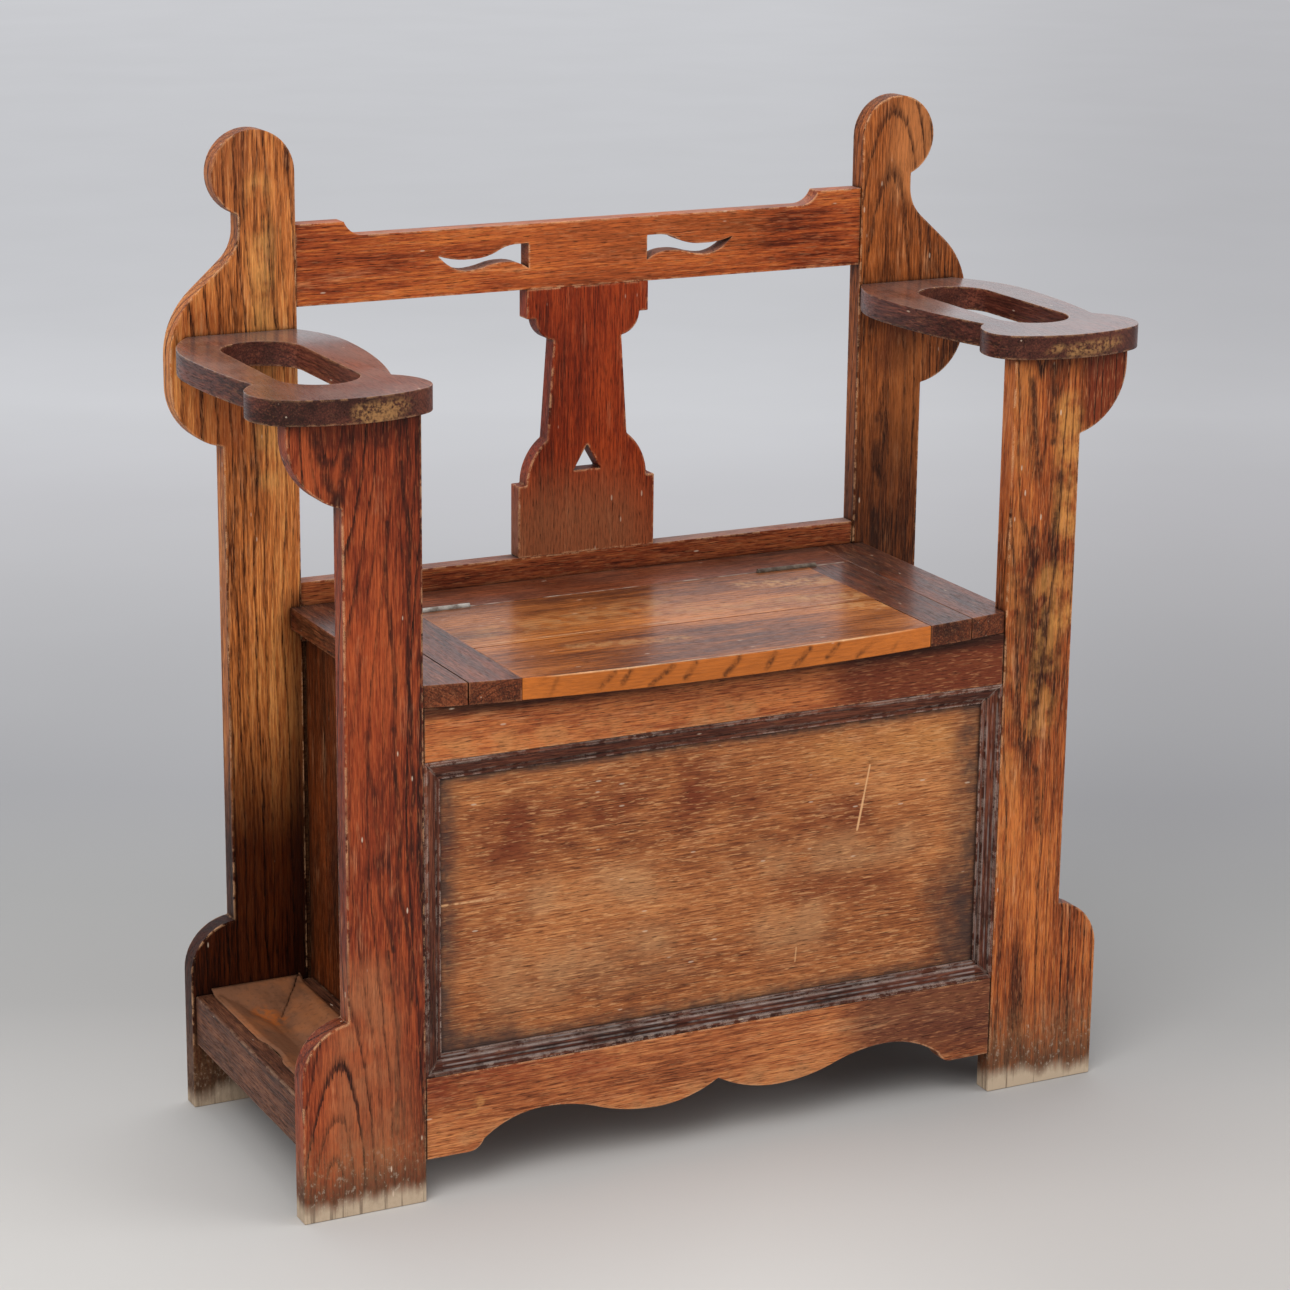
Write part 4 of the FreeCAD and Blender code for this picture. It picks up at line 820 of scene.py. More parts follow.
@dataclass
class Uprights:
    """The four shaped boards that stand on the floor."""

    front_face: float = -0.140
    rear_face: float = 0.144

    def stain(self, start: Spot, end: Spot, width: float, soft: float, colour: Colour,
              strength: float = 0.7, front: bool = True, **more: object) -> Mark:
        """A stain on an upright, laid under the grain; one that only darkens what is there is painted shade.
        """
        face = self.front_face if front else self.rear_face
        return face_mark(face, start, end, width, soft, colour, strength, under="way" not in more, **more)

    def left_front(self) -> Board:
        """The red board at the left, with arches at its foot and a dark wedge at its ear."""
        dark = (52, 20, 12)
        lines = (
            ((-0.322, 0.62), (-0.318, 0.44)), ((-0.318, 0.44), (-0.306, 0.18)),
            ((-0.342, 0.44), (-0.324, 0.24)), ((-0.324, 0.24), (-0.318, 0.07)),
            ((-0.304, 0.67), (-0.300, 0.32)))
        return Board("front_upright_left", FRONT_RED, Grain(
            Lie.POST, (-0.372, -0.095), 0.0, 9.0 * MM, 1.3, 3.7, 0.36, 0.36), marks=(
                *(self.stain(start, end, 0.7, 2.4, (46, 18, 11), 0.9, broken=26.0, hold=0.45,
                             wobble=0.030) for start, end in lines),
                self.stain((-0.385, 0.698), (-0.368, 0.640), 1, 7, dark, 0.9, broken=70.0, hold=0.4),
                self.stain((-0.352, 0.698), (-0.366, 0.640), 1, 5, dark, 0.9, broken=70.0, hold=0.4),
                self.stain((-0.372, 0.695), (-0.330, 0.690), 4, 16, (74, 26, 15), 0.6, broken=30.0),
                self.stain((-0.345, 0.52), (-0.345, 0.30), 6, 20, (168, 70, 32), 0.35, broken=20.0),
                self.stain((-0.350, 0.20), (-0.340, 0.06), 14, 40, (172, 108, 70), 0.65, broken=30.0,
                           hold=0.4),
                self.stain((-0.292, 0.70), (-0.292, 0.05), 1, 5, (48, 18, 12), 0.6, broken=40.0)))

    def right_front(self) -> Board:
        """The tawny board at the right, with dark flames and a golden patch."""
        dark = (60, 32, 19)
        gold = (226, 156, 80)
        flames = (
            ((0.308, 0.69), (0.318, 0.60)), ((0.331, 0.70), (0.333, 0.63)), ((0.343, 0.60), (0.337, 0.53)),
            ((0.333, 0.47), (0.327, 0.38)), ((0.330, 0.32), (0.334, 0.26)), ((0.316, 0.55), (0.312, 0.48)))
        return Board("front_upright_right", FRONT_TAN, Grain(
            Lie.POST, (0.316, -0.108), 0.0, 7.6 * MM, 1.5, 9.2, 0.10, 0.20), marks=(
                self.stain((0.350, 0.66), (0.354, 0.46), 6, 16, gold, 0.65, broken=36.0),
                self.stain((0.336, 0.50), (0.332, 0.36), 6, 18, gold, 0.45, broken=46.0),
                self.stain((0.392, 0.72), (0.392, 0.66), 18, 12, (122, 48, 24), 0.85),
                self.stain((0.300, 0.70), (0.300, 0.20), 4, 12, (192, 122, 62), 0.5, broken=50.0),
                self.stain((0.300, 0.72), (0.345, 0.715), 3, 20, (92, 40, 22), 0.6),
                self.stain((0.306, 0.52), (0.304, 0.30), 1, 4, dark, 0.6, broken=60.0),
                *(self.stain(start, end, 1, 5, dark, 0.9, broken=70.0, hold=0.35) for start, end in flames)))

    def left_rear(self) -> Board:
        """The golden board behind at the left, with painted shade that makes it nearly black low down and
        darkens its inner edge.
        """
        return Board("rear_upright_left", REAR_GOLD, Grain(
            Lie.POST, (-0.430, 0.120), 0.05, 9.0 * MM, 1.6, 5.1), marks=(
                # painted shade: nearly black low down in the bay, and darker along the inner edge by the side
                # panel
                self.stain((-0.335, -0.10), (-0.335, 0.14), 100, 170, (94, 72, 62), 1.0, False,
                           way="MULTIPLY"),
                self.stain((-0.288, 0.47), (-0.288, 0.10), 6, 26, (120, 100, 90), 0.85, False,
                           way="MULTIPLY"),
                self.stain((-0.385, 0.74), (-0.360, 0.64), 10, 26, (156, 74, 32), 0.55, False),
                self.stain((-0.325, 0.86), (-0.318, 0.60), 4, 16, (236, 176, 98), 0.4, False,
                           broken=30.0),
                self.stain((-0.350, 0.90), (-0.372, 0.84), 6, 26, (132, 66, 36), 0.45, False)))

    def right_rear(self) -> Board:
        """The brown board behind at the right, red over the arm and darkened below it with painted shade."""
        return Board("rear_upright_right", REAR_BROWN, Grain(
            Lie.POST, (0.318, 0.112), 0.0, 7.4 * MM, 1.0, 14.6, 0.20, 0.56), marks=(
                # painted shade below the arm
                self.stain((0.335, -0.10), (0.335, 0.42), 110, 150, (176, 170, 166), 1.0, False,
                           way="MULTIPLY"),
                self.stain((0.352, 0.89), (0.345, 0.84), 12, 30, (214, 136, 78), 0.5, False),
                self.stain((0.352, 0.70), (0.330, 0.66), 6, 26, (86, 34, 20), 0.6, False),
                self.stain((0.315, 0.60), (0.312, 0.46), 2, 6, (52, 26, 16), 0.7, False, broken=50.0),
                self.stain((0.345, 0.66), (0.345, 0.56), 8, 22, (176, 100, 44), 0.45, False)))

    def build(self) -> None:
        """Dress the uprights."""
        for board in (self.left_front(), self.right_front(), self.left_rear(), self.right_rear()):
            board.build()


@dataclass
class Arms:
    """The ring-shaped arms, their front edges worn down to bare end grain."""

    front: float = -0.1585
    bare: Colour = (178, 130, 80)

    def chips(self, side: str) -> tuple[Mark, ...]:
        """The bare patches on the front edge of one arm."""
        spans = {
            "left": (
                ((-0.352, 0.719), (-0.286, 0.723), 2.5, 9.0),
                ((-0.345, 0.713), (-0.290, 0.716), 2.0, 5.0),
                ((-0.425, 0.716), (-0.405, 0.713), 0.8, 2.6)),
            "right": (
                ((0.308, 0.716), (0.326, 0.721), 1.5, 5.0),
                ((0.338, 0.717), (0.396, 0.722), 2.5, 7.0)),
        }[side]
        return tuple(face_mark(self.front, *span, self.bare, 0.75, broken=300.0, dulls=0.3) for span in spans)

    def build(self) -> None:
        """Dress the arms."""
        for side, sign, seed in (("left", -1, 21.0), ("right", 1, 24.0)):
            Board(f"arm_ring_{side}", ARM_DARK, Grain(
                Lie.ARM, (sign * 0.350, 0.66), 0.03, 5.0 * MM, 1.0, seed), 1.6 * MM, self.chips(side)).build()


@dataclass
class Back:
    """The pierced top rail, the splat and the lower rail."""

    face: float = 0.146

    def build(self) -> None:
        """Dress the back, each piece with one broad change of tone under its grain."""
        high = Grain(Lie.RAIL, (0.60, 0.20), 0.03, 4.2 * MM, 0.8, 31.0)
        splat = Grain(Lie.POST, (0.22, 0.14), 0.02, 3.6 * MM, 0.7, 34.0)
        low = Grain(Lie.RAIL, (0.36, 0.19), 0.03, 4.2 * MM, 0.8, 37.0)
        for name, stain, grain, start, end, width, soft, tone, strength, way in (
                ("back_top_rail", RAIL_RED, high,
                 (-0.05, 0.80), (0.14, 0.80), 12, 60, (216, 116, 54), 0.35, "MIX"),
                ("back_splat", SPLAT_DEEP, splat,
                 (-0.05, 0.50), (0.01, 0.50), 22, 80, (150, 90, 58), 0.85, "MIX"),
                ("back_lower_rail", RAIL_RED, low,
                 (-0.30, 0.50), (0.30, 0.50), 60, 10, (214, 222, 255), 1.0, "MULTIPLY")):
            mark = face_mark(self.face, start, end, width, soft, tone, strength, under=True, way=way)
            Board(name, stain, grain, marks=(mark,)).build()


@dataclass
class Seat:
    """The lid and the fixed boards round it."""

    top: float = 0.474
    thickness: float = 0.020
    joint: float = -0.0412
    hinge_line: float = 0.0815
    bulge: float = 0.164

    def rim(self, place: float) -> float:
        """How far forward the lid's bowed front edge is at a place along it."""
        return -self.bulge + 0.205 * place * place

    def figures(self) -> tuple[Mark, ...]:
        """The dark rings that cross the rounded front edge of the lid."""
        dark = (78, 40, 17)
        rings = (
            (-0.178, 6, 3), (-0.134, 14, 4), (-0.112, 8, 7), (-0.086, 22, 2), (-0.052, 9, 5), (-0.014, 14, 3),
            (0.028, 8, 5), (0.056, 16, 2), (0.090, 12, 6), (0.122, 22, 3), (0.160, 14, 4))
        return tuple(
            face_mark(self.rim(place), (place, self.top - self.thickness + low * MM),
                      (place + lean * MM, self.top - 3 * MM), 0.6, 4.0, dark, 0.85, broken=170.0, hold=0.3)
            for place, lean, low in rings)

    def arris(self) -> tuple[Mark, ...]:
        """The bright line along the lid's top front edge: worn wood with a painted highlight."""
        places = [-0.214 + 0.107 * step for step in range(5)]
        spots = [(place, self.rim(place) + 2.0 * MM) for place in places]
        # painted highlight on the worn front arris
        return tuple(self.rub(near, far, 0.3, 1.5, 0.75, 26.0, (232, 186, 138), 0.3)
                     for near, far in zip(spots, spots[1:]))

    def rub(self, start: Spot, end: Spot, width: float, soft: float, strength: float, broken: float,
            colour: Colour = (206, 158, 104), hold: float = 0.0) -> Mark:
        """A rubbed place on the lid's top, its widths in millimetres."""
        return Mark((*start, self.top), (*end, self.top), width * MM, soft * MM, colour, strength,
                    broken=broken, hold=hold)

    def rubs(self, front: bool) -> tuple[Mark, ...]:
        """The pale joint and the rubbed places on the front or the rear board of the lid."""
        joint = self.rub((-0.200, self.joint), (0.190, self.joint), 0.4, 1.0, 0.85, 24.0, (222, 186, 146))
        if front:
            return (
                joint,
                self.rub((0.150, -0.050), (0.198, -0.070), 3, 14, 0.5, 160.0),
                self.rub((-0.120, -0.080), (-0.020, -0.095), 2, 12, 0.4, 130.0))
        return (
            joint,
            self.rub((0.120, 0.045), (0.190, 0.030), 5, 16, 0.6, 150.0),
            self.rub((0.150, -0.020), (0.198, -0.030), 3, 14, 0.5, 160.0),
            self.rub((-0.180, -0.010), (0.020, 0.020), 4, 34, 0.3, 60.0),
            self.rub((0.000, -0.015), (0.140, -0.020), 2, 20, 0.3, 90.0))

    def dust(self) -> tuple[Mark, ...]:
        """The dust in the joint behind the lid."""
        line = self.hinge_line + 1.4 * MM
        return (self.rub((-0.245, line), (0.245, line), 0.3, 1.6, 0.8, 45.0, (190, 176, 160)),)

    def build(self) -> None:
        """Dress the lid, the fixed boards and what carries them."""
        front = Grain(Lie.TOP, (-0.20, 0.40), 0.03, 6.0 * MM, 1.2, 41.0)
        rear = Grain(Lie.TOP, (0.16, 0.41), 0.02, 6.0 * MM, 1.2, 44.0)
        front_marks = self.figures() + self.arris() + self.rubs(True)
        Board("lid_board_front", LID_BROWN, front, 1.2 * MM, front_marks).build()
        Board("lid_board_rear", LID_BROWN, rear, 1.2 * MM, self.rubs(False)).build()
        build_pair("lid_cleat", SEAT_BROWN, Lie.ARM, (0.20, 0.40), (47.0, 49.0), 1.2 * MM)
        build_pair("seat_end", SEAT_BROWN, Lie.ARM, (0.31, 0.41), (51.0, 53.0))
        build_pair("lid_bearer", PLAIN, Lie.BEARER, (0.40, 0.25), (55.0, 57.0), 0.6 * MM)
        Board("seat_rear_board", SEAT_BROWN, Grain(Lie.TOP, (0.20, 0.40), 0.03, 5.0 * MM, 1.0, 61.0),
              marks=self.dust()).build()
        Board("seat_rear_bearer", PLAIN, Grain(Lie.RAIL, (0.40, 0.20), 0.03, 5.0 * MM, 1.0, 62.0),
              0.6 * MM).build()


@dataclass
class Front:
    """The front rail, the panel, its mitred moulding and the scalloped apron."""

    panel_face: float = -0.130
    rail_face: float = -0.139
    left: float = -0.272
    right: float = 0.272
    low: float = 0.134
    high: float = 0.387
    strip: float = 18 * MM
    seam: float = 0.290

    def panel_marks(self) -> tuple[Mark, ...]:
        """The bands, the painted shade and soiling along the moulding, and the scratches of the panel."""
        face = self.panel_face
        red = (112, 46, 24)
        pale = (188, 136, 92)
        shade_and_dirt = (62, 50, 47)
        scratch = (226, 172, 122)
        bands = (
            ((-0.25, 0.325), (-0.04, 0.345), 12, 44, red, 0.85),
            ((-0.02, 0.320), (0.14, 0.300), 8, 30, red, 0.6),
            ((-0.25, 0.245), (-0.18, 0.230), 8, 44, red, 0.7),
            ((0.06, 0.235), (0.24, 0.215), 4, 20, red, 0.5),
            ((-0.17, 0.265), (0.20, 0.262), 6, 24, pale, 0.65),
            ((-0.20, 0.190), (0.10, 0.200), 10, 34, pale, 0.65),
            ((0.10, 0.365), (0.24, 0.360), 6, 24, (206, 138, 76), 0.6))
        # painted shade in the corners along the moulding, mixed with soiling
        smudges = (
            ((self.left, 0.14), (self.left, 0.38), 3, 22, shade_and_dirt, 0.85),
            ((self.left + 0.006, self.low), (self.left + 0.06, self.low), 5, 30, shade_and_dirt, 0.7),
            ((self.right, 0.15), (self.right, 0.36), 6, 36, shade_and_dirt, 0.8),
            ((self.right - 0.02, 0.16), (self.right - 0.03, 0.21), 6, 34, shade_and_dirt, 0.6),
            ((self.left, self.low), (self.right, self.low), 1, 15, shade_and_dirt, 0.7),
            ((self.left, self.high), (self.right, self.high), 1, 10, shade_and_dirt, 0.8))
        scratches = (
            ((0.1557, 0.3421), (0.1440, 0.2812), 0.35, 0.9, scratch, 0.95, 0.0),
            ((0.1500, 0.312), (0.1444, 0.283), 0.5, 1.2, scratch, 0.8, 0.0),
            ((-0.2698, 0.2706), (-0.2099, 0.2698), 0.3, 1.3, scratch, 0.8, 140.0),
            ((0.083, 0.176), (0.082, 0.163), 0.3, 0.9, scratch, 0.6, 0.0))
        return (
            *(face_mark(face, *band, broken=12.0, under=True) for band in bands),
            *(face_mark(face, *smudge, broken=60.0, dulls=0.15, hold=0.55) for smudge in smudges),
            *(face_mark(face, *line, broken=gaps) for *line, gaps in scratches))

    def tone(self, start: Spot, end: Spot, width: float, soft: float, colour: Colour, strength: float,
             broken: float = 0.0, under: bool = True) -> Mark:
        """A change of tone on the rail or the apron, its widths in millimetres."""
        return face_mark(self.rail_face, start, end, width, soft, colour, strength,
                         broken=broken, under=under)

    def seams(self) -> tuple[Mark, ...]:
        """The dark joints between the rails and the uprights."""
        return tuple(
            self.tone((place, 0.02), (place, 0.46), 0.6, 1.6, (24, 13, 10), 0.9, under=False)
            for place in (-self.seam, self.seam))

    def rail_marks(self) -> tuple[Mark, ...]:
        """The pale middle, the painted shadow of the lid along its top and the dark right end of the front
        rail.
        """
        return self.seams() + (
            self.tone((-0.27, 0.412), (0.02, 0.414), 5, 14, (206, 140, 84), 0.55, 40.0),
            # painted shadow cast by the lid's front edge on the top of the rail
            self.tone((-0.29, 0.452), (0.29, 0.452), 3, 11, (36, 18, 13), 0.8, under=False),
            self.tone((0.16, 0.43), (0.29, 0.43), 26, 50, (104, 44, 26), 0.85))

    def apron_marks(self) -> tuple[Mark, ...]:
        """The red left end, the pale lower edge and the dirty right end of the apron."""
        return self.seams() + (
            self.tone((-0.29, 0.105), (-0.10, 0.108), 4, 22, (136, 54, 28), 0.65, 24.0),
            self.tone((-0.25, 0.050), (0.10, 0.056), 3, 18, (192, 132, 84), 0.6, 40.0),
            self.tone((0.18, 0.10), (0.29, 0.09), 22, 50, (92, 50, 38), 0.8),
            self.tone((-0.245, 0.078), (-0.238, 0.086), 2, 5, (196, 134, 76), 0.8, 90.0))

    def moulding_marks(self) -> tuple[Mark, ...]:
        """The pale bloom along the ridges of the moulding: dust on the bottom ridges, and painted highlights
        on the ridges of the bottom and right moulding that face the lamps.
        """
        dust_and_highlight = (158, 148, 142)
        low = self.low - self.strip
        made = []
        # painted highlights along the ridges that face the lamps, with dust on the bottom ones
        for rise, reach in ((4.2, -0.1375), (8.5, -0.1368), (12.5, -0.1345), (15.8, -0.1325)):
            height = low + rise * MM
            side = self.right + self.strip - rise * MM
            made += [
                face_mark(reach, (self.left, height), (self.right, height), 0.2, 1.1, dust_and_highlight, 0.6, broken=36.0),
                face_mark(reach, (side, self.low), (side, self.high), 0.2, 0.9, dust_and_highlight, 0.45, broken=36.0)]
        return tuple(made)

    def build(self) -> None:
        """Dress the front."""
        Board("front_top_rail", FRONT_RAIL, Grain(Lie.RAIL, (0.60, -0.10), 0.02, 4.0 * MM, 0.8, 71.0),
              marks=self.rail_marks()).build()
        Board("front_panel", PANEL, Grain(Lie.RAIL, (0.70, -0.06), 0.02, 4.4 * MM, 1.0, 74.0), 0.0,
              self.panel_marks()).build()
        Board("front_apron", APRON, Grain(Lie.RAIL, (-0.10, -0.10), 0.02, 4.2 * MM, 0.8, 77.0),
              marks=self.apron_marks()).build()
        for name, lie, seed in (("top", Lie.RAIL, 81.0), ("bottom", Lie.RAIL, 82.0),
                                ("left", Lie.POST, 83.0), ("right", Lie.POST, 84.0)):
            Board(f"moulding_{name}", MOULDING, Grain(lie, (0.9, 0.1), 0.02, 3.0 * MM, 0.6, seed), 0.35 * MM,
                  self.moulding_marks()).build()


@dataclass
class Chest:
    """The sides, back, bottom and blocks of the box."""

    def build(self) -> None:
        """Dress the box."""
        build_pair("side_panel", SIDE_DARK, Lie.SIDE, (0.05, 0.20), (91.0, 93.0))
        build_pair("bottom_bearer", PLAIN, Lie.BEARER, (0.2, 0.2), (96.0, 98.0), 0.6 * MM)
        build_pair("corner_block_front", PLAIN, Lie.POST, (0.2, 0.0), (96.0, 98.0), 0.8 * MM)
        build_pair("corner_block_rear", PLAIN, Lie.POST, (0.2, 0.0), (95.0, 97.0), 0.8 * MM)
        for end, seed in (("front", 106.0), ("rear", 105.0)):
            Board(f"bottom_bearer_{end}", PLAIN, Grain(Lie.RAIL, (0.2, 0.0), 0.03, 5.0 * MM, 1.0, seed),
                  0.6 * MM).build()
        back = Grain(Lie.RAIL, (0.30, 0.30), 0.02, 7.0 * MM, 1.4, 107.0)
        bottom = Grain(Lie.TOP, (0.05, 0.20), 0.02, 7.0 * MM, 1.4, 109.0)
        Board("chest_back_panel", INSIDE, back, 0.5 * MM).build()
        Board("chest_bottom_board", INSIDE, bottom, 0.5 * MM).build()


@dataclass
class DripTray:
    """A sheet-metal tray hipped down to a gutter, its ends turned up against the uprights.

    Places across the bench are kept as distances from its middle, for either side. A worn
    tray is split along a hip and has a bent outer rim.
    """

    name: str
    side: int
    worn: bool
    seed: float
    sheet: float = 0.8 * MM
    rims: tuple[float, float] = (0.2982, 0.3863)
    side_folds: tuple[float, float] = (0.3065, 0.3800)
    gutter: tuple[float, float] = (0.3392, 0.3472)
    ends: tuple[float, float] = (-0.1188, 0.1428)
    end_folds: tuple[float, float] = (-0.110, 0.134)
    basin: tuple[float, float] = (-0.064, 0.088)
    rim: float = 0.1119
    low: float = 0.0963
    flap: float = 0.1166
    dent: float = 0.7 * MM
    gape: float = 1.0 * MM
    lift: float = 1.8 * MM
    tear_root: float = 3 * MM
    coarse_jag: float = 900
    fine_jag: float = 2300
    bend: float = 7.0 * MM
    bend_middle: float = -0.012
    bend_reach: float = 0.036
    bend_start: float = 0.368
    bend_width: float = 0.0183

    @staticmethod
    def ladder(places: tuple[float, ...], counts: tuple[int, ...]) -> list[float]:
        """Divide the gaps between places, each by its own count."""
        made = [places[0]]
        for low, high, count in zip(places, places[1:], counts):
            made += [low + (high - low) * (step + 1) / count for step in range(count)]
        return made

    def height(self, out: float, along: float) -> float:
        """Height of the top face.

        Args:
            out: How far from the bench's middle.
            along: How far back.

        Returns:
            The height over the floor.
        """
        over = max((self.end_folds[0] - along) / (self.end_folds[0] - self.ends[0]),
                   (along - self.end_folds[1]) / (self.ends[1] - self.end_folds[1]))
        if over > 0:
            return self.rim + (self.flap - self.rim) * over
        across = min((out - self.side_folds[0]) / (self.gutter[0] - self.side_folds[0]),
                     (self.side_folds[1] - out) / (self.side_folds[1] - self.gutter[1]))
        lengthwise = min((along - self.end_folds[0]) / (self.basin[0] - self.end_folds[0]),
                         (self.end_folds[1] - along) / (self.end_folds[1] - self.basin[1]))
        fall = min(max(min(across, lengthwise), 0.0), 1.0)
        ripple = math.sin(out * 210 + self.seed) * math.sin(along * 64 + self.seed * 2) * min(fall * 2, 1.0)
        return self.rim - (self.rim - self.low) * fall + max(ripple, -0.3) * self.dent

    def tear(self, mesh: bmesh.types.BMesh) -> None:
        """Split the sheet along the rear inner hip and lift the inner lip."""
        start = Vector((self.side * self.gutter[0], self.basin[1], 0))
        end = Vector((self.side * self.side_folds[0], self.end_folds[1], 0))
        along = (end - start).normalized()
        away = Vector((along.y, -along.x, 0))
        if away.x * self.side > 0:
            away = -away
        length = (end - start).length * 1.2
        whole = [*mesh.verts, *mesh.edges, *mesh.faces]
        cut = bmesh.ops.bisect_plane(mesh, geom=whole, dist=TINY, plane_co=start, plane_no=away)
        torn = [edge for edge in cut["geom_cut"] if isinstance(edge, bmesh.types.BMEdge)
                and min((vertex.co - start).dot(along) for vertex in edge.verts) > self.tear_root]
        bmesh.ops.split_edges(mesh, edges=torn)
        moves = []
        for vertex in mesh.verts:
            run = (vertex.co - start).dot(along)
            off = (vertex.co - start).dot(away)
            share = min(max((run - self.tear_root) / length, 0.0), 1.0)
            if not share or off < -TINY:
                continue
            centres = [(face.calc_center_median() - start).dot(away) for face in vertex.link_faces]
            inner = off > TINY or sum(centres) > 0
            lip = abs(off) <= TINY
            jag = (math.sin(run * self.coarse_jag) * 0.5 + math.sin(run * self.fine_jag) * 0.3) * MM * lip
            shift = away * (jag + inner * self.gape * share * lip)
            rise = inner * self.lift * share * max(1 - off / 0.03, 0.0)
            moves.append((vertex, shift + Vector((0, 0, rise))))
        for vertex, move in moves:
            vertex.co += move

    def buckle(self, mesh: bmesh.types.BMesh) -> None:
        """Bend a stretch of the outer rim inwards and down."""
        for vertex in mesh.verts:
            near = max(1 - abs(vertex.co.y - self.bend_middle) / self.bend_reach, 0.0)
            out = max((abs(vertex.co.x) - self.bend_start) / self.bend_width, 0.0)
            push = near * near * (3 - 2 * near) * out
            vertex.co.x -= self.side * push * self.bend
            vertex.co.z -= push * self.bend * 0.45

    def build(self) -> None:
        """Build the tray in place of its solid."""
        mesh = bmesh.new()
        across = (self.rims[0], self.side_folds[0], *self.gutter, self.side_folds[1], self.rims[1])
        lengthwise = (self.ends[0], self.end_folds[0], *self.basin, self.end_folds[1], self.ends[1])
        outs = self.ladder(across, (3, 18, 4, 18, 3))
        runs = self.ladder(lengthwise, (4, 18, 44, 18, 4))
        grid = [[mesh.verts.new((self.side * out, along, self.height(out, along))) for out in outs]
                for along in runs]
        for near, far in zip(grid, grid[1:]):
            for column in range(len(outs) - 1):
                mesh.faces.new((near[column], near[column + 1], far[column + 1], far[column]))
        if self.worn:
            self.buckle(mesh)
            self.tear(mesh)
        bmesh.ops.recalc_face_normals(mesh, faces=mesh.faces)
        if sum(face.normal.z for face in mesh.faces) < 0:
            bmesh.ops.reverse_faces(mesh, faces=mesh.faces)
        data = mesh_data(f"{self.name}_sheet", mesh)
        for face in data.polygons:
            face.use_smooth = True
        tray = placed(f"{self.name}_sheet", data)
        thick = tray.modifiers.new("thickness", "SOLIDIFY")
        thick.thickness = self.sheet
        thick.offset = -1.0
        rust = Mark((self.side * 0.352, 0.101, 0.101), (self.side * 0.344, 0.088, 0.099), 5 * MM, 12 * MM,
                    (184, 100, 40), 0.85, broken=130.0)
        patches = (rust,) if self.worn else ()
        data.materials.append(RustySheet().material(f"{self.name}_finish", self.seed, patches))
        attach(tray, self.name)
        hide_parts(self.name)
        log.info("%s built", tray.name)


@dataclass
class Stands:
    """The stretchers, tray bearers and trays of the stick stands."""

    def build(self) -> None:
        """Dress the stretchers and bearers, and build the trays."""
        build_pair("side_stretcher", STRETCHER, Lie.BEARER, (0.25, 0.36), (111.0, 114.0), 1.6 * MM,
                   4.4 * MM, 0.8)
        build_pair("tray_bearer", STRETCHER, Lie.BEARER, (0.25, 0.27), (117.0, 120.0), 1.0 * MM,
                   4.4 * MM, 0.8)
        DripTray("drip_tray_left", -1, True, 2.0).build()
        DripTray("drip_tray_right", 1, False, 5.0).build()


